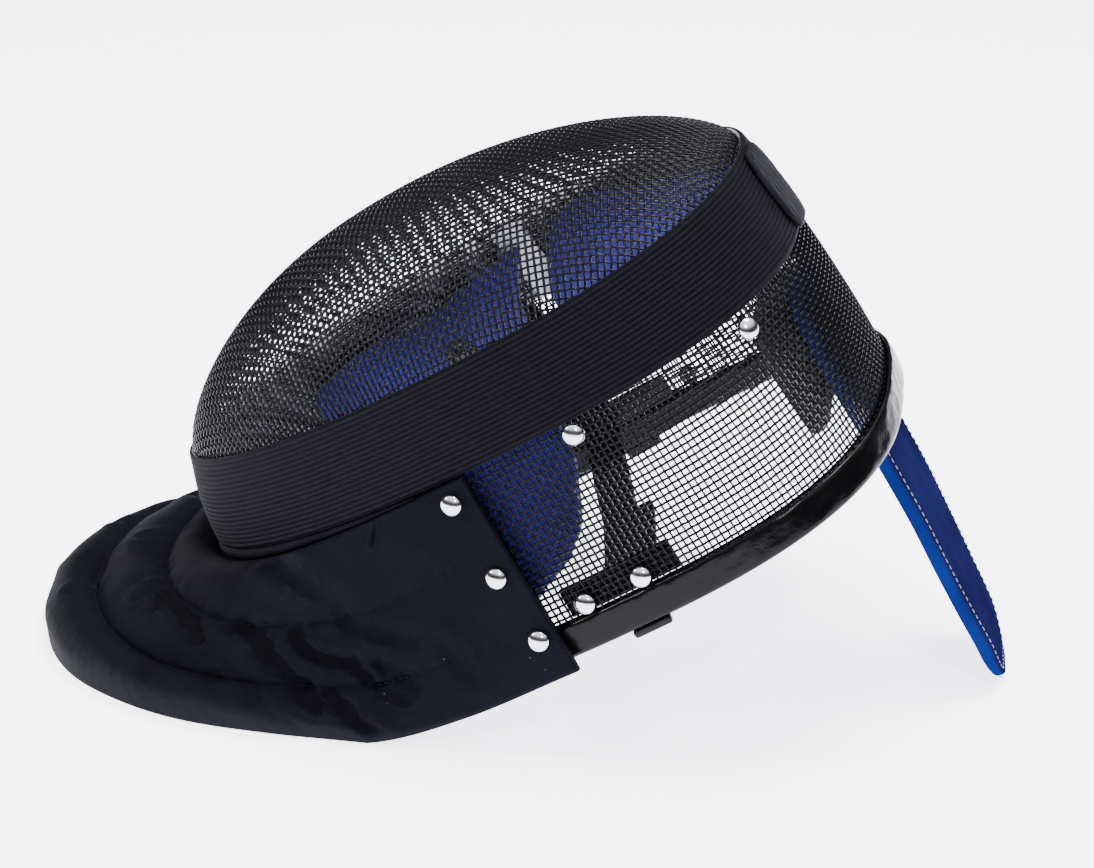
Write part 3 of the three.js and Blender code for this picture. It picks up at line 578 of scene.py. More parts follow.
def bib_outer(share, t, extra=0.0):
    """Outer face of the bib for paired shares and ways down, moved out by extra"""
    top, _, raised, _, outward, rim = bib_frame(share)
    inner_seam, outer_seam = rim[:, 5], rim[:, 6]
    low = np.where(t > outer_seam, outer_seam, np.where(t > inner_seam, inner_seam, 0))
    high = np.where(t > outer_seam, 1, np.where(t > inner_seam, outer_seam, inner_seam))
    roll = np.sqrt(np.clip(np.sin(np.pi * np.clip((t - low) / (high - low), 0, 1)), 0, 1))
    fullness = 0.7 + 0.4 * (t > outer_seam)
    swell = rim[:, 3] * np.sin(np.pi * t) + rim[:, 4] * fullness * roll + extra
    return top + (raised - top) * t[:, None] + outward * swell[:, None], outward


def bib_inner(share, t, extra=0.0):
    top, _, raised, thick, outward, rim = bib_frame(share)
    depth = BIB_TOP_THICKNESS + (thick - BIB_TOP_THICKNESS) * t + extra
    swell = rim[:, 3] * np.sin(np.pi * t) - depth
    return top + (raised - top) * t[:, None] + outward * swell[:, None]


BIB_ACROSS = 480
ways = np.concatenate([np.linspace(0, 0.5, 60), np.linspace(0.51, 1.0, 60)[:-1]])
share_grid, way_grid = np.meshgrid(np.linspace(-1, 1, BIB_ACROSS + 1), ways, indexing="ij")
flat_share, flat_way = share_grid.ravel(), way_grid.ravel()
rim_here = between(RIM_ROWS, abs(flat_share))
outer_points, outward = bib_outer(flat_share, flat_way)
frame_top, frame_foot = bib_frame(flat_share)[:2]
bib_height = np.linalg.norm(frame_foot - frame_top, axis=1)
across_mm = flat_share * BIB_HALF_LENGTH
down_mm = flat_way * bib_height

# Creases that the cloth shows: depth and width in mm, then places by share and way down
CREASES = [
    (3.0, 4.3, [(0.42, 0.47), (0.472, 0.51), (0.54, 0.685), (0.595, 0.8), (0.635, 0.87)]),
    (3.1, 4.1, [(0.637, 0.81), (0.675, 0.88), (0.71, 0.98)]),
    (2.8, 3.5, [(0.538, 0.505), (0.578, 0.615), (0.633, 0.66), (0.665, 0.67), (0.69, 0.74)]),
    (1.9, 5.4, [(0.403, 0.07), (0.528, 0.235), (0.613, 0.39)]),
    (1.6, 4.1, [(0.625, 0.46), (0.71, 0.54), (0.78, 0.605)]),
    (1.4, 4.1, [(0.708, 0.77), (0.762, 0.845)]),
    (1.1, 4.1, [(0.828, 0.665), (0.867, 0.845)]),
    (2.6, 3.2, [(0.335, 0.475), (0.393, 0.61)]),
    (2.1, 3.4, [(0.22, 0.405), (0.31, 0.46), (0.343, 0.525)]),
    (1.4, 1.8, [(0.69, 0.03), (0.685, 0.1)]),
    (1.8, 3.4, [(0.188, 0.365), (0.21, 0.5)]),
    (1.6, 3.4, [(0.24, 0.38), (0.27, 0.52)]),
    (1.4, 4.1, [(0.705, 0.67), (0.778, 0.815)]),
    (1.2, 3.0, [(0.448, 0.775), (0.482, 0.865)]),
    (1.2, 3.0, [(0.528, 0.81), (0.548, 0.875)]),
    (1.2, 3.0, [(0.353, 0.83), (0.385, 0.885)]),
    (2.4, 4.1, [(-0.35, 0.47), (-0.44, 0.55), (-0.53, 0.72), (-0.58, 0.86)]),
    (2.6, 3.8, [(-0.5, 0.48), (-0.57, 0.6), (-0.66, 0.69)]),
    (1.8, 5.4, [(-0.38, 0.08), (-0.5, 0.26), (-0.6, 0.4)]),
    (2.3, 3.8, [(-0.7, 0.8), (-0.74, 0.97)]),
    (1.6, 3.2, [(-0.16, 0.34), (-0.19, 0.5)]),
    (1.4, 3.2, [(-0.03, 0.3), (-0.02, 0.45)]),
    (1.4, 3.0, [(0.1, 0.7), (0.12, 0.8)]),
    (1.4, 3.0, [(-0.12, 0.7), (-0.13, 0.82)]),
]
press = np.zeros(len(flat_share))
for depth, width, places in CREASES:
    places = np.array(places)
    for (s0, w0), (s1, w1) in zip(places[:-1], places[1:]):
        near = abs(flat_share - (s0 + s1) / 2) < abs(s1 - s0) / 2 + 0.08
        a = np.stack([across_mm[near] - s0 * BIB_HALF_LENGTH,
                      (flat_way[near] - w0) * bib_height[near]], -1)
        b = np.stack([np.full(near.sum(), (s1 - s0) * BIB_HALF_LENGTH),
                      (w1 - w0) * bib_height[near]], -1)
        g = np.clip((a * b).sum(1) / (b * b).sum(1), 0, 1)
        away = np.linalg.norm(a - b * g[:, None], axis=1)
        dip = -depth * np.exp(-(away / width) ** 2)
        dip += 0.45 * depth * np.exp(-((away - 1.9 * width) / width) ** 2)
        part = press[near]
        press[near] = np.where(abs(dip) > abs(part), dip, part)

# Puckers where the seams gather the cloth, and the slack of the cloth between them
seam_gap = abs(flat_way[:, None] - rim_here[:, 5:7]).min(1) * bib_height
rim_gap = (1 - flat_way) * bib_height
slack = np.array([
    noise.noise(Vector((p[0] / 34, p[1] / 34, p[2] / 26))) * 0.9
    + noise.noise(Vector((p[0] / 13 + 9, p[1] / 13, p[2] / 10))) * 0.35
    for p in outer_points])
pucker_at = np.array([
    noise.noise(Vector((s / 23, 3.3, w / 60))) for s, w in zip(across_mm, down_mm)])
pucker = 0.45 * np.sin(across_mm / 1.9 + pucker_at * 9) * (0.45 + pucker_at)
fading = smooth((1 - abs(flat_share)) / 0.12) * smooth(flat_way / 0.06)
move = (press + slack * 1.3) * fading * smooth(rim_gap / 6)
move += pucker * (np.exp(-(seam_gap / 4.5) ** 2) + 0.7 * np.exp(-(rim_gap / 7) ** 2)) * fading
outer_points = outer_points + outward * move[:, None]
fold_height = move.reshape(BIB_ACROSS + 1, len(ways))
outer_points = outer_points.reshape(BIB_ACROSS + 1, len(ways), 3)

shares = np.linspace(-1, 1, BIB_ACROSS + 1)
inner_ways = np.array([0.92, 0.8, 0.65, 0.5, 0.35, 0.2, 0.08, 0.0])
inner_points = np.stack([bib_inner(shares, np.full(len(shares), w)) for w in inner_ways], 1)
_, foot, _, thick, out_way, _ = bib_frame(shares)
flat_out = unit(out_way * np.array([1, 1, 0]))
on_floor = foot[:, 2] == 0
inner_points[on_floor, 0, 2] = np.maximum(inner_points[on_floor, 0, 2], HEEL_RISE)
heel = foot - flat_out * (thick * 0.8)[:, None]
heel[on_floor] = inner_points[on_floor, 0] * np.array([1, 1, 0])
toe = foot - flat_out * 0.5
# The cloth is turned in against the wire along the top, under the band
turned_in = bib_top(shares, 0.4)
bib_points = np.concatenate(
    [outer_points, toe[:, None], heel[:, None], inner_points, turned_in[:, None]], 1)
bib_points[..., 2] = np.maximum(bib_points[..., 2], 0.0)
cols = bib_points.shape[1]
bib_uv = np.zeros((BIB_ACROSS + 1, cols, 2))
bib_uv[..., 0] = (shares * BIB_HALF_LENGTH)[:, None]
girth_down = np.concatenate([np.zeros((BIB_ACROSS + 1, 1)), np.cumsum(
    np.linalg.norm(np.diff(bib_points, axis=1), axis=2), axis=1)], 1)
bib_uv[..., 1] = girth_down

# Close-woven cotton and polyester cloth, dyed navy so dark that it is nearly black: matt, with a
# faint bloom at grazing angles, a fine twill and a little lint
bib_cloth, tree, shader = new_material(
    "navy_twill", Base_Color=srgb("#05050C"), Roughness=0.75, Specular_IOR_Level=0.045)
cloth = coords(tree, "UV")
slant = add_node(tree, "Mapping", Vector=cloth, Rotation=(0, 0, 0.9)).outputs["Vector"]
# Twill of 1.1 mm a line, coarser than real twill so that it shows
twill = texture(tree, "Wave", slant, {"bands_direction": "X"}, Scale=0.314 / 1.1,
                Distortion=0.6, Detail=1.0)
fibre = texture(tree, "Noise", cloth, Scale=1.6, Detail=4.0)
worn = texture(tree, "Noise", coords(tree, "Object"), Scale=22.0, Detail=5.0, Roughness=0.6)
# Painted shade: the cloth's colour is made paler on the ridges of its folds and darker in their
# valleys, by their height, on top of the twill and a random worn tone
painted_fold_shade = add_node(tree, "Attribute", {"attribute_name": "fold_height"}).outputs["Fac"]
tone_variation = scaled_sum(tree, painted_fold_shade, 0.07, scaled_sum(tree, twill, 0.2, worn))
lint = texture(tree, "Voronoi", cloth, output="Distance", Scale=0.085, Randomness=1.0)
speck = add_node(tree, "MapRange", Value=lint, From_Min=0.018, From_Max=0.03,
                 To_Min=0.75, To_Max=0.0)
colour = mixed_colour(tree, speck.outputs["Result"],
                      ramp(tree, tone_variation, "#020205", "#0A0A14", 0.25), srgb("#484C62"))
finish_surface(tree, shader, colour, bump=(0.5, 0.0003, scaled_sum(tree, twill, 0.6, fibre)))

bib = swept("bib_quilted", bib_points / 1000, bib_cloth, bib_uv, ring=False)
# The folds' heights, kept on the bib's points for the painted shade in the cloth's colour
fold_values = np.zeros((BIB_ACROSS + 1, cols))
fold_values[:, :len(ways)] = fold_height
folded = bib.data.attributes.new("fold_height", "FLOAT", "POINT")
folded.data.foreach_set("value", fold_values.ravel().astype(np.float32))
ride_as(bib, "bib_fabric", "bib")


def thread_material(name, colour, roughness, specular):
    material, tree, shader = new_material(
        name, Base_Color=srgb(colour), Roughness=roughness, Specular_IOR_Level=specular)
    spun = texture(tree, "Noise", coords(tree, "Object"), Scale=2500.0)
    finish_surface(tree, shader, bump=(0.5, 0.0002, spun))
    return material


def stitch_row(points, outward, length, gap, radius):
    """Verts and faces of stitches along a run of points: small six-sided grains, flat below"""
    points, outward = np.asarray(points), unit(np.asarray(outward))
    travel = np.concatenate([[0], np.cumsum(np.linalg.norm(np.diff(points, axis=0), axis=1))])
    verts, faces = [], []
    for start in np.arange(gap, travel[-1] - length, length + gap):
        ends = [np.array([np.interp(s, travel, points[:, k]) for k in range(3)])
                for s in (start, start + length)]
        up = unit(np.array([np.interp(start, travel, outward[:, k]) for k in range(3)]))
        along = unit(ends[1] - ends[0])
        side = np.cross(along, up)
        base = len(verts)
        for share, size in ((0.0, 0.25), (0.2, 0.9), (0.5, 1.0), (0.8, 0.9), (1.0, 0.25)):
            middle = ends[0] * (1 - share) + ends[1] * share
            for k in range(6):
                a = k / 6 * 2 * math.pi
                verts.append(middle + (side * math.cos(a) + up * math.sin(a) * 0.8) * radius * size)
        for ring in range(4):
            for k in range(6):
                m = (k + 1) % 6
                row = base + ring * 6
                faces.append((row + k, row + m, row + 6 + m, row + 6 + k))
        faces.append((base, base + 5, base + 4, base + 3))
        faces.append((base, base + 3, base + 2, base + 1))
        last = base + 24
        faces.append((last, last + 1, last + 2, last + 3))
        faces.append((last, last + 3, last + 4, last + 5))
    return verts, faces


def stitching(name, rows, material, slot):
    verts, faces = [], []
    for v, f in rows:
        faces += [tuple(i + len(verts) for i in face) for face in f]
        verts += list(v)
    piece = mesh_object(name, np.array(verts) / 1000, faces, material)
    mend_faces(piece)
    ride_as(piece, slot)


# The quilting's thread, a row of short stitches along each seam, sunk between the rolls
thread = thread_material("navy_thread", "#0C0D16", 0.8, 0.03)
seam_rows = []
for column, reach in ((5, 0.755), (6, 0.845)):
    seam_shares = np.linspace(-reach, reach, 700)
    seam_rim = between(RIM_ROWS, abs(seam_shares))
    line, out = bib_outer(seam_shares, seam_rim[:, column], 0.25)
    seam_rows.append(stitch_row(line, out, 2.4, 1.1, 0.42))
stitching("bib_stitches", seam_rows, thread, "bib_fabric")

# Hem piping: a folded strip of the bib's cloth, sewn in between the band and the bib. It
# shows as a thin dark lip below the band, widest at the chin.
hem_shares = np.linspace(-0.82, 0.82, 241)
hem_depth = BIB_TOP_AT_CHIN + (BIB_TOP_AT_SIDE - BIB_TOP_AT_CHIN) * smooth(abs(hem_shares))
hem_angle = np.where(hem_shares < 0, -1, 1) * (
    math.pi + (EDGE_ANGLE - math.pi) * abs(hem_shares))
hem_from, hem_to = BAND_BOTTOM_N - SEAT_GAP, hem_depth + 0.1
HEM_PROFILE = [(0, 1.4), (0.08, 2.3), (0.3, 2.9), (0.5, 3.0), (0.7, 2.9), (0.92, 2.3), (1, 1.4),
               (1, 0.3), (0.5, 0.3), (0, 0.3)]
hem_rows = [wall_point(hem_angle, hem_from + (hem_to - hem_from) * share, offset)
            for share, offset in HEM_PROFILE]
hem_grid = np.stack(hem_rows, 1)
hem_uv = uv_grid(hem_shares * 330, np.arange(len(HEM_PROFILE)))
hem = swept("hem_strip", to_room(hem_grid), bib_cloth, hem_uv, ring=False)
ride_as(hem, "bib_fabric", "hem_piping")

# Bib lining: bright blue cotton inside the bib, which shows from below and behind. It follows
# the bib's inner face and is sewn in with it.
LINING_THICKNESS = 1.3
PAD_GAP = 0.8
LINING_REACH = 11 / 18
lining_shares = np.linspace(-LINING_REACH, LINING_REACH, 221)
lining_ways = np.linspace(0.2, 0.78, 13)
lining_points = np.stack([
    bib_inner(lining_shares, np.full(len(lining_shares), w), extra)
    for extra, order in ((PAD_GAP, lining_ways), (PAD_GAP + LINING_THICKNESS, lining_ways[::-1]))
    for w in order], 1)
lining_uv = uv_grid(lining_shares * BIB_HALF_LENGTH,
                    np.concatenate([lining_ways, lining_ways[::-1]]) * 90)
lining_cloth, tree, shader = new_material(
    "blue_lining_cloth", Base_Color=srgb("#2030A0"), Roughness=0.8, Sheen_Weight=0.2,
    Sheen_Roughness=0.5, Specular_IOR_Level=0.3)
checks = texture(tree, "Noise", coords(tree, "UV"), Scale=0.9, Detail=4.0)
finish_surface(tree, shader, ramp(tree, checks, "#16217E", "#3346C4"), bump=(0.4, 0.0003, checks))
lining = swept("lining_cloth", lining_points / 1000, lining_cloth, lining_uv, ring=False)
ride_as(lining, "lining_fabric", "bib_lining")


# Edge trim: glossy black vinyl binding, folded over the rear edge of the side mesh all the
# way round and sewn through.
TRIM_DEPTH = 12.0
TRIM_STEPS = 480
TRIM_PROFILE = [
    (0.3, 0.0), (0.9, 0.4), (1.7, 0.35), (2.3, -0.3), (2.5, -1.6), (2.55, -4.0), (2.5, -6.5),
    (2.55, -9.0), (2.5, -11.4), (2.2, -12.8), (1.4, -13.9), (0.2, -14.2), (-1.0, -14.25),
    (-2.2, -14.2), (-3.4, -13.9), (-4.2, -12.8), (-4.5, -11.4), (-4.5, -6.0), (-4.5, -1.6),
    (-4.3, -0.3), (-3.5, 0.3), (-2.3, 0.0), (-2.3, -6.0), (-2.3, -12.3), (0.3, -12.3), (0.3, -6.0),
]
trim_angles = np.arange(TRIM_STEPS) / TRIM_STEPS * 2 * math.pi
trim_start = -rear_depth(trim_angles) + TRIM_DEPTH
trim_rows = []
for offset, drop in TRIM_PROFILE:
    swell = (0.1 * np.sin(31 * trim_angles + drop) + 0.08 * np.sin(53 * trim_angles - 2 * drop)
             if abs(offset + 1) > 2.5 else 0.0 * trim_angles)
    n = trim_start + min(drop, 0.0)
    trim_rows.append(wall_point(
        trim_angles, n, offset + swell * np.sign(offset + 1), trim_start + drop))
trim_grid = np.stack(trim_rows, 1)
trim_length = np.interp(trim_angles, fine, girth)
trim_uv = uv_grid(trim_length, [drop for _, drop in TRIM_PROFILE])

# Soft PVC binding: black, glossy, slightly wavy where it is stretched round the crown
vinyl, tree, shader = new_material(
    "black_soft_vinyl", Base_Color=srgb("#040405"), Roughness=0.18, Specular_IOR_Level=0.1)
room = coords(tree, "Object")
waves = texture(tree, "Noise", room, Scale=95.0, Detail=3.0)
grain = texture(tree, "Noise", room, Scale=900.0, Detail=2.0)
finish_surface(tree, shader, gloss=(waves, 0.12, 0.34),
               bump=(0.35, 0.0015, scaled_sum(tree, grain, 0.12, waves)))
trim = swept("trim_binding", to_room(trim_grid), vinyl, trim_uv)
ride_as(trim, "trim_vinyl", "edge_trim")


# Crown patch: a thick strip of dark rubber with rounded ends, glued on the band at the crown.
# It is about as high as the band and a little lumpy.
PATCH_HALF_ANGLE = 0.12
PATCH_THICKNESS = 2.4
PATCH_OFFSET = 3.1
patch_rows = []
for place in np.linspace(-1, 1, 49):
    inset = 36 * max(abs(place) - 0.5, 0) ** 2
    top_n, low_n = BAND_TOP_N - 1.5 - inset, BAND_BOTTOM_N + 1.5 + inset
    row = []
    for t, rise in [(0, 0), (0, 0.6), (0.012, 0.9), (0.04, 1.0)] + [
            (k / 14, 1.0) for k in range(1, 14)] + [(0.96, 1.0), (0.988, 0.9), (1, 0.6), (1, 0)] + [
            (k / 6, 0) for k in range(5, 0, -1)]:
        end = min((1 - abs(place)) / 0.04, 1)
        lump = 0.12 * noise.noise(Vector((place * 9, t * 9, 1.5))) if rise > 0.8 else 0
        row.append((place, top_n + (low_n - top_n) * t,
                    rise * (0.55 + 0.45 * math.sqrt(end)) + lump))
    patch_rows.append(row)
patch_table = np.array(patch_rows)
patch_grid = wall_point(patch_table[..., 0] * PATCH_HALF_ANGLE, patch_table[..., 1],
                        PATCH_OFFSET + patch_table[..., 2] * PATCH_THICKNESS)
# Dark rubber sheet, charcoal, rubbed a little paler, with a faint grain
rubber, tree, shader = new_material(
    "charcoal_rubber", Base_Color=srgb("#0E0E13"), Roughness=0.6, Specular_IOR_Level=0.06)
room = coords(tree, "Object")
grain = texture(tree, "Noise", room, Scale=1100.0, Detail=4.0)
tone_variation = texture(tree, "Noise", room, Scale=60.0, Detail=4.0)
finish_surface(tree, shader, ramp(tree, tone_variation, "#09090D", "#15151B", 0.3, 0.75),
               bump=(0.5, 0.0004, grain))
patch = swept("crown_patch_rubber", to_room(patch_grid), rubber, ring=False)
ride_as(patch, "patch_rubber", "crown_patch")


# Pads: foam in blue cloth, glued to the inside of the meshes at both cheeks and round the
# forehead, and a black one with a pointed end inside the crown. Each is let swell by simulation.
SWELL_STEPS = 20
PAD_HUB_N = -60


def cad_copy(node, name, flatness=None):
    """A welded copy of a CAD solid, selected; with a flatness its level faces are joined too"""
    piece = bpy.data.objects.new(name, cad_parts[node].data.copy())
    bpy.context.scene.collection.objects.link(piece)
    work = bmesh.new()
    work.from_mesh(piece.data)
    bmesh.ops.remove_doubles(work, verts=work.verts, dist=1e-5)
    if flatness is not None:
        bmesh.ops.dissolve_limit(work, angle_limit=flatness, verts=work.verts, edges=work.edges)
    work.to_mesh(piece.data)
    work.free()
    bpy.ops.object.select_all(action="DESELECT")
    bpy.context.view_layer.objects.active = piece
    piece.select_set(True)
    return piece


def foam(node, name, material, voxel, pressure, cap, slot):
    """A CAD pad remeshed evenly, shrunk by 0.4 of cap, then swollen by at most cap"""
    piece = cad_copy(node, name)
    remesh = piece.modifiers.new("even", "REMESH")
    remesh.mode = "VOXEL"
    remesh.voxel_size = voxel
    remesh.use_smooth_shade = True
    bpy.ops.object.modifier_apply(modifier=remesh.name)
    rest = np.zeros(len(piece.data.vertices) * 3)
    piece.data.vertices.foreach_get("co", rest)
    rest = rest.reshape(-1, 3)
    normals = np.zeros(rest.size)
    piece.data.vertices.foreach_get("normal", normals)
    start = rest - normals.reshape(-1, 3) * cap * 0.4
    piece.data.vertices.foreach_set("co", start.ravel())
    cloth = piece.modifiers.new("swell", "CLOTH")
    cloth.settings.use_pressure = True
    cloth.settings.uniform_pressure_force = pressure
    cloth.settings.effector_weights.gravity = 0
    cloth.settings.quality = 5
    cloth.point_cache.frame_end = SWELL_STEPS
    for step in range(1, SWELL_STEPS + 1):
        bpy.context.scene.frame_set(step)
    shaped = piece.evaluated_get(bpy.context.evaluated_depsgraph_get())
    swollen = np.zeros(len(shaped.data.vertices) * 3)
    shaped.data.vertices.foreach_get("co", swollen)
    piece.modifiers.remove(cloth)
    bpy.context.scene.frame_set(1)
    move = swollen.reshape(-1, 3) - start
    far = np.linalg.norm(move, axis=1)
    move *= np.minimum(1, cap / np.maximum(far, 1e-9))[:, None]
    start = start + move
    # Against the wire the pad stays as it was: what moved outward past its CAD back goes back
    axis = np.array([math.cos(TILT), 0, math.sin(TILT)])
    centre = to_room([WIDEST_U, 0, PAD_HUB_N])
    spoke = rest - centre
    spoke -= np.outer(spoke @ axis, axis) * np.where(spoke @ axis < 0, 0.75, 0.3)[:, None]
    normal_axis = np.array([-math.sin(TILT), 0, math.cos(TILT)])
    spoke = unit(spoke - np.outer(spoke @ normal_axis, normal_axis))
    over = ((start - rest) * spoke).sum(1)
    start = start - spoke * np.maximum(over - 0.0001, 0)[:, None]
    piece.data.vertices.foreach_set("co", start.ravel())
    piece.data.update()
    finer = piece.modifiers.new("finer", "SUBSURF")
    finer.levels = finer.render_levels = 1
    bpy.ops.object.modifier_apply(modifier=finer.name)
    piece.data.materials.clear()
    piece.data.materials.append(material)
    for polygon in piece.data.polygons:
        polygon.use_smooth = True
    ride_as(piece, slot, node)


# Knitted polyester over foam, royal blue: matt with a soft bloom, a fine rib and paler worn tops
pad_cloth, tree, shader = new_material(
    "blue_pad_knit", Base_Color=srgb("#2A2FB0"), Roughness=0.8, Sheen_Weight=0.1,
    Sheen_Roughness=0.5, Specular_IOR_Level=0.3)
room = coords(tree, "Object")
# Loops of 1.4 mm, coarser than a real knit so that they show
loops = texture(tree, "Voronoi", room, output="Distance", Scale=720.0, Randomness=0.35)
cloudy = texture(tree, "Noise", room, Scale=28.0, Detail=3.0)
colour = ramp(tree, scaled_sum(tree, loops, -0.5, cloudy), "#14125A", "#28269C", 0.1, 0.6)
finish_surface(tree, shader, colour, bump=(0.5, 0.0005, loops))

# Black felt of the crown's cushion and of the pocket behind the tongue
black_felt, tree, shader = new_material(
    "black_felt", Base_Color=srgb("#08080B"), Roughness=0.95, Sheen_Weight=0.05,
    Sheen_Roughness=0.6, Specular_IOR_Level=0.08)
fuzz = texture(tree, "Noise", coords(tree, "Object"), Scale=1200.0, Detail=4.0, Roughness=0.7)
finish_surface(tree, shader, ramp(tree, fuzz, "#050506", "#121217"), bump=(0.6, 0.0004, fuzz))

for side in ("left", "right"):
    foam(f"cheek_pad_{side}", f"cheek_cushion_{side}", pad_cloth,
         0.004, 4.0, 0.0025, "pad_fabric")
foam("forehead_pad", "forehead_cushion", pad_cloth, 0.004, 4.0, 0.0025, "pad_fabric")
foam("crown_pad", "crown_cushion", black_felt, 0.004, 4.0, 0.002, "black_fabric")
foam("tongue_pocket", "tongue_pocket_felt", black_felt, 0.003, 3.0, 0.001, "black_fabric")

# White webbing tape glued inside the mesh on the right, in the gap between the forehead's pad
# and the cheek's. What the white strip in the photograph really is can't be told.
TAPE_ANGLE = math.radians(103.5)
TAPE_HALF_WIDTH = 0.075
TAPE_TOP_N = 0.5
TAPE_BOTTOM_N = -41.0
tape_cloth, tree, shader = new_material(
    "white_webbing_tape", Base_Color=srgb("#E4E4E8"), Roughness=0.8, Specular_IOR_Level=0.2)
weave = add_node(tree, "TexChecker", Vector=coords(tree, "UV"), Scale=1.0,
                 Color1=srgb("#F0F0F4"), Color2=srgb("#CFCFD6"))
finish_surface(tree, shader, weave.outputs["Color"], bump=(0.4, 0.0003, weave.outputs["Fac"]))
tape_rows = []
tape_n = np.linspace(TAPE_TOP_N, TAPE_BOTTOM_N, 40)
bend = TAPE_ANGLE + 0.02 * np.sin((tape_n + 20) / 14)
for offset, turns_across in ((-0.2, np.linspace(-1, 1, 9)), (-0.7, np.linspace(1, -1, 9))):
    for turn in turns_across:
        tape_rows.append(wall_point(-bend + turn * TAPE_HALF_WIDTH, tape_n, -MESH_WALL + offset))
tape_grid = np.stack(tape_rows, 1)
tape_across = np.concatenate([np.linspace(0, 15, 9), np.linspace(15, 0, 9)])
tape_uv = uv_grid(-tape_n, tape_across)[..., ::-1]
tape = swept("white_tape_right", to_room(tape_grid), tape_cloth, tape_uv, ring=False)
ride_as(tape, "pad_fabric")


# Press stud: a black one, sewn to the pad of the right cheek. A ring round a domed middle, set
# on the pad's face where a line from the middle of the mask meets it.
STUD_U, STUD_N = -41.0, -41.0
STUD_RADIUS = 0.006
STUD_RING = 0.0011
STUD_DOME = 0.0038
STUD_SEAT = 0.0006
black_enamel, tree, shader = new_material(
    "black_enamelled_stud", Base_Color=srgb("#08080B"), Roughness=0.3, Specular_IOR_Level=0.4)
speckle = texture(tree, "Noise", coords(tree, "Object"), Scale=1500.0, Detail=2.0)
finish_surface(tree, shader, gloss=(speckle, 0.2, 0.4))
cushion = bpy.data.objects["cheek_cushion_right"]
from_middle = Vector(to_room([STUD_U, 0, STUD_N]))
found, spot, facing, _ = cushion.ray_cast(from_middle, Vector((0, 1, 0)))
if not found:
    spot, facing = from_middle + Vector((0, 0.08, 0)), Vector((0, -1, 0))
bpy.ops.object.select_all(action="DESELECT")
bpy.ops.mesh.primitive_torus_add(
    major_radius=STUD_RADIUS, minor_radius=STUD_RING, major_segments=48, minor_segments=12)
stud = bpy.context.object
bpy.ops.object.mode_set(mode="EDIT")
bpy.ops.mesh.primitive_uv_sphere_add(segments=24, ring_count=12, radius=STUD_DOME)
bpy.ops.transform.resize(value=(1, 1, 0.4))
bpy.ops.object.mode_set(mode="OBJECT")
bpy.ops.object.shade_smooth()
stud.name = "press_stud"
turn = facing.to_track_quat("Z", "Y").to_matrix().to_4x4()
stud.data.transform(Matrix.Translation(spot + facing * STUD_SEAT) @ turn)
stud.data.materials.append(black_enamel)
ride_as(stud, "pad_fabric")


# Rear strap: flat black elastic, 26 mm wide on the left and folded narrower on the right,
# slung across the opening from one side of the mesh to the other.
TAB_THICKNESS = 2.0
STRAP_THICKNESS = 2.0
STRAP_UNDER = -MESH_WALL - PAD_GAP - TAB_THICKNESS - SEAT_GAP
STRAP_STEPS = 181
STRAP_ROWS = [
    # end (-1 left, 1 right, 0 between), distance from the middle, front and rear edge, depth
    (-1, 0, 20, 46, -106.5), (-1, 0, 19, 45, -114), (0, -96, 17, 43, -119.5), (0, -50, 8, 34, -124),
    (0, 4, -2, 24, -127), (0, 8, -3, 16, -127), (0, 50, -12, 7, -125), (0, 94, -20, -1, -119.5),
    (1, 0, -21, -2, -114), (1, 0, -22, -3, -106.5),
]


strap_corners = []
for end, y, front, rear, n in STRAP_ROWS:
    corners = []
    for face, shares_across in ((-1, np.linspace(0, 1, 9)), (1, np.linspace(1, 0, 9))):
        under = STRAP_UNDER - (STRAP_THICKNESS if face < 0 else 0)
        for u in front + (rear - front) * shares_across:
            corners.append(wall_point(-end * angle_at(u, n), n, under) if end
                           else np.array([u, y, n - face * STRAP_THICKNESS / 2]))
    strap_corners.append(np.array(corners))
strap_corners = np.array(strap_corners)
turn_index = np.arange(len(STRAP_ROWS), dtype=float)
table = np.concatenate([turn_index[:, None], strap_corners.reshape(len(STRAP_ROWS), -1)], 1)
strap_grid = between(table, np.linspace(0, len(STRAP_ROWS) - 1, STRAP_STEPS))
strap_grid = strap_grid.reshape(STRAP_STEPS, 18, 3)
strap_travel = np.concatenate([[0], np.cumsum(np.linalg.norm(
    np.diff(strap_grid.mean(1), axis=0), axis=1))])
strap_v = np.concatenate([np.linspace(0, 26, 9), np.linspace(26, 0, 9)])
strap_uv = uv_grid(strap_travel, strap_v)
strap = swept("rear_strap_webbing", to_room(strap_grid), webbing, strap_uv, ring=False)
ride_as(strap, "strap_webbing", "rear_strap")


# Strap tabs: short lengths of the same vinyl, riveted inside the mesh and folded under the
# binding, which hold the strap's two ends.
def softened(node, name, material, slot, edge):
    piece = cad_copy(node, name, flatness=0.02)
    rounding = piece.modifiers.new("rounding", "BEVEL")
    rounding.width = edge
    rounding.segments = 3
    rounding.limit_method = "ANGLE"
    rounding.angle_limit = math.radians(35)
    bpy.ops.object.modifier_apply(modifier=rounding.name)
    bpy.ops.object.shade_smooth_by_angle(angle=math.radians(40))
    piece.data.materials.clear()
    piece.data.materials.append(material)
    ride_as(piece, slot, node)


for side in ("left", "right"):
    softened(f"strap_tab_{side}", f"strap_loop_{side}", vinyl, "strap_webbing", 0.0005)
    softened(f"strap_keeper_{side}", f"strap_fold_{side}", vinyl, "strap_webbing", 0.0012)


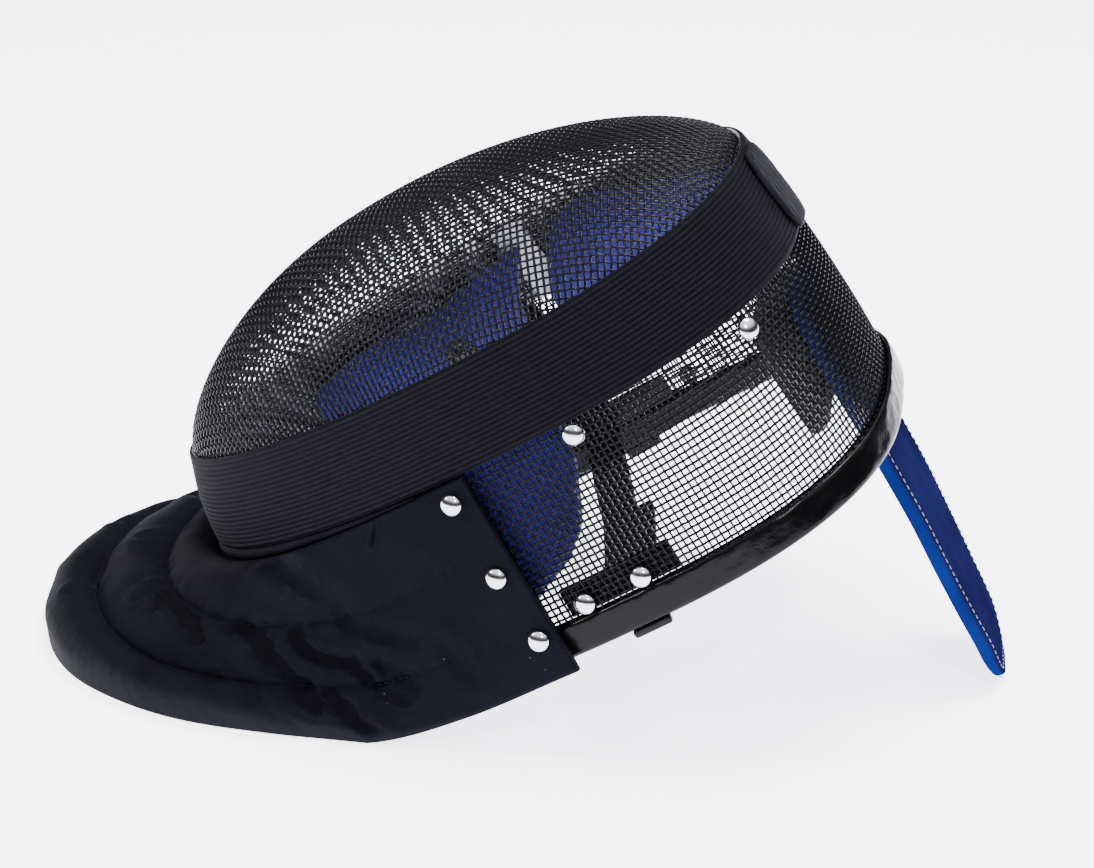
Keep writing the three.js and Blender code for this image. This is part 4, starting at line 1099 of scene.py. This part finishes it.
# Tongue: a leaf spring between two layers of blue leather, sewn round its edge with pale
# thread. Its root is in the pocket inside the crown and its tip rests on the floor.
TONGUE_WIDTH = 70.0
TONGUE_TIP_WIDTH = 40.0
TONGUE_THICKNESS = 7.0
TONGUE_ROWS = np.array([
    # place along, x, height
    (0, 111, 184), (1, 124, 160), (2, 140, 134), (3, 154, 110), (4, 168, 86), (5, 180, 63),
    (6, 192, 40), (7, 202, 21), (8, 211, 0.5),
], float)
dense = between(TONGUE_ROWS, np.linspace(0, 8, 801)) + np.array([EXPORT_SHIFT_X, 0])
spent = np.concatenate([[0], np.cumsum(np.linalg.norm(np.diff(dense, axis=0), axis=1))])
TONGUE_LENGTH = spent[-1]
TONGUE_STEPS = 200
even = TONGUE_LENGTH * (1 - (1 - np.linspace(0, 1, TONGUE_STEPS + 1)) ** 1.25)
line_x, line_z = np.interp(even, spent, dense[:, 0]), np.interp(even, spent, dense[:, 1])
slope = unit(np.stack([np.gradient(line_x), np.gradient(line_z)], -1))
share_along = even / TONGUE_LENGTH
tip = np.maximum((share_along - 0.91) / 0.09, 0)
round_off = np.sqrt(np.clip(1 - tip ** 2 * 0.82, 0, 1))
half_width = 0.5 * (TONGUE_WIDTH + (TONGUE_TIP_WIDTH - TONGUE_WIDTH)
                    * smooth((share_along - 0.6) / 0.65)) * round_off
half_thick = 0.5 * TONGUE_THICKNESS * (1 - 0.4 * tip)
TONGUE_SIDES = 72
turns = np.arange(TONGUE_SIDES) / TONGUE_SIDES * 2 * math.pi
# A flat oblong section with rounded edges and a slightly fuller middle
cos_t, sin_t = np.cos(turns), np.sin(turns)
square = (abs(cos_t) ** 6 + abs(sin_t) ** 6) ** (-1 / 6)
w_side, d_side = cos_t * square, sin_t * square
w_full = np.sign(w_side) * abs(w_side) ** 0.75
bulge = np.sqrt(np.clip(1 - np.clip((abs(w_full) - 0.88) / 0.12, 0, 1) ** 2, 0, 1))
d_full = d_side * (0.42 + 0.58 * bulge)
tongue_points = np.stack([
    line_x[:, None] - slope[:, 1:2] * half_thick[:, None] * d_full,
    half_width[:, None] * w_full,
    line_z[:, None] + slope[:, 0:1] * half_thick[:, None] * d_full,
], -1)
tongue_points[..., 2] = np.maximum(tongue_points[..., 2], 0)
tongue_uv = np.stack([np.repeat(even[:, None], TONGUE_SIDES, 1), w_full * half_width[:, None]], -1)

# Smooth-grained cowhide, dyed blue and finished with a satin coat: fine pebbled grain, a paler
# and brighter blue on the folded edge and on the layer against the head
leather, tree, shader = new_material(
    "blue_cowhide", Base_Color=srgb("#0E1440"), Roughness=0.5, Specular_IOR_Level=0.0)
room = coords(tree, "Object")
layer = add_node(tree, "Attribute", {"attribute_name": "edge_layer"}).outputs["Fac"]
pebble = texture(tree, "Voronoi", room, output="Distance", Scale=1100.0, Randomness=1.0)
soft = texture(tree, "Noise", room, Scale=35.0, Detail=4.0)
colour = mixed_colour(tree, layer, ramp(tree, soft, "#0F0F30", "#16183F", 0.3, 0.7),
                      ramp(tree, soft, "#0C184E", "#10205E", 0.3, 0.7))
finish_surface(tree, shader, colour, bump=(0.25, 0.0003, pebble))
tongue = swept("tongue_leather", tongue_points / 1000, leather, tongue_uv, ring=False)
# The darker layer is the one away from the head, up and towards the crown
edge_layer = tongue.data.attributes.new("edge_layer", "FLOAT", "POINT")
outer_face = np.where(d_full < 0.55, 1.0, 0.0)
on_edge = np.clip((abs(w_full) - 0.93) / 0.03, 0, 1)
value = np.maximum(outer_face, on_edge)[None, :] + 0 * even[:, None]
edge_layer.data.foreach_set("value", value.ravel().astype(np.float32))
ride_as(tongue, "tongue_leather", "tongue")

pale_thread = thread_material("pale_grey_thread", "#7E8496", 0.7, 0.1)
STITCH_INSET = 4.6
run = np.linspace(0.2, 1, 500)
inner_half = np.interp(run, share_along, half_width) - STITCH_INSET
fit = run < 1 - STITCH_INSET / TONGUE_LENGTH
paths = []
for side in (-1, 1):
    pts, outs = [], []
    for s, h in zip(run[fit], inner_half[fit]):
        k = int(min(np.interp(s, share_along, np.arange(TONGUE_STEPS + 1)), TONGUE_STEPS - 1))
        x, z = np.interp(s, share_along, line_x), np.interp(s, share_along, line_z)
        thick = np.interp(s, share_along, half_thick)
        out = np.array([-slope[k, 1], 0, slope[k, 0]])
        pts.append(np.array([x, side * max(h, 0), z]) + out * (thick + 0.1))
        outs.append(out)
    paths.append((pts, outs))
stitching("tongue_stitches", [
    stitch_row(paths[0][0] + paths[1][0][::-1], paths[0][1] + paths[1][1][::-1], 2.4, 1.2, 0.3),
], pale_thread, "tongue_leather")


# Rivets: polished nickel-plated steel with domed heads, seven a side. Three hold the bib's
# edge, two stand under the band and two hold the strap's tab.
RIVET_RADIUS = 0.0049
RIVET_HEIGHT = 0.0034
RIVET_RIM = 0.0004
nickel, tree, shader = new_material(
    "polished_nickel_plate", Base_Color=srgb("#CDCED2"), Metallic=1.0, Roughness=0.1)
scuff = texture(tree, "Noise", coords(tree, "Object"), Scale=450.0, Detail=5.0)
finish_surface(tree, shader, gloss=(scuff, 0.05, 0.22))
bpy.ops.object.select_all(action="DESELECT")
bpy.ops.mesh.primitive_uv_sphere_add(segments=32, ring_count=20, radius=RIVET_RADIUS)
head = bpy.context.object
bpy.ops.object.mode_set(mode="EDIT")
bpy.ops.mesh.select_all(action="SELECT")
bpy.ops.transform.resize(value=(1, 1, (RIVET_HEIGHT - RIVET_RIM) / RIVET_RADIUS))
bpy.ops.mesh.select_all(action="SELECT")
bpy.ops.mesh.bisect(plane_co=(0, 0, 0.00001), plane_no=(0, 0, 1), clear_inner=True, use_fill=True)
bpy.ops.mesh.extrude_region_move(TRANSFORM_OT_translate={"value": (0, 0, -RIVET_RIM)})
bpy.ops.mesh.select_all(action="SELECT")
bpy.ops.mesh.normals_make_consistent(inside=False)
bpy.ops.object.mode_set(mode="OBJECT")
bpy.ops.object.shade_smooth_by_angle(angle=math.radians(50))
head.data.materials.append(nickel)
middle_of_mask = Vector(to_room([WIDEST_U, 0, -50]))
for spot in ("temple", "forehead", "strap_front", "strap_rear",
             "bib_top", "bib_middle", "bib_bottom"):
    for side in ("left", "right"):
        node = f"rivet_{spot}_{side}"
        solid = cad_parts[node].data
        points = np.array([v.co for v in solid.vertices])
        centre = (points.max(0) + points.min(0)) / 2
        _, _, axes = np.linalg.svd(np.unique(points.round(6), axis=0) - points.mean(0))
        outward = Vector(axes[2])
        if outward.dot(Vector(centre) - middle_of_mask) < 0:
            outward.negate()
        heights = points @ np.array(outward)
        base = Vector(centre) - outward * (np.dot(centre, outward) - heights.min())
        piece = bpy.data.objects.new(f"rivet_head_{spot}_{side}", head.data.copy())
        bpy.context.scene.collection.objects.link(piece)
        turn = outward.to_track_quat("Z", "Y").to_matrix().to_4x4()
        piece.data.transform(Matrix.Translation(base + outward * RIVET_RIM) @ turn)
        ride_as(piece, "rivet_steel", node)
bpy.data.objects.remove(head)
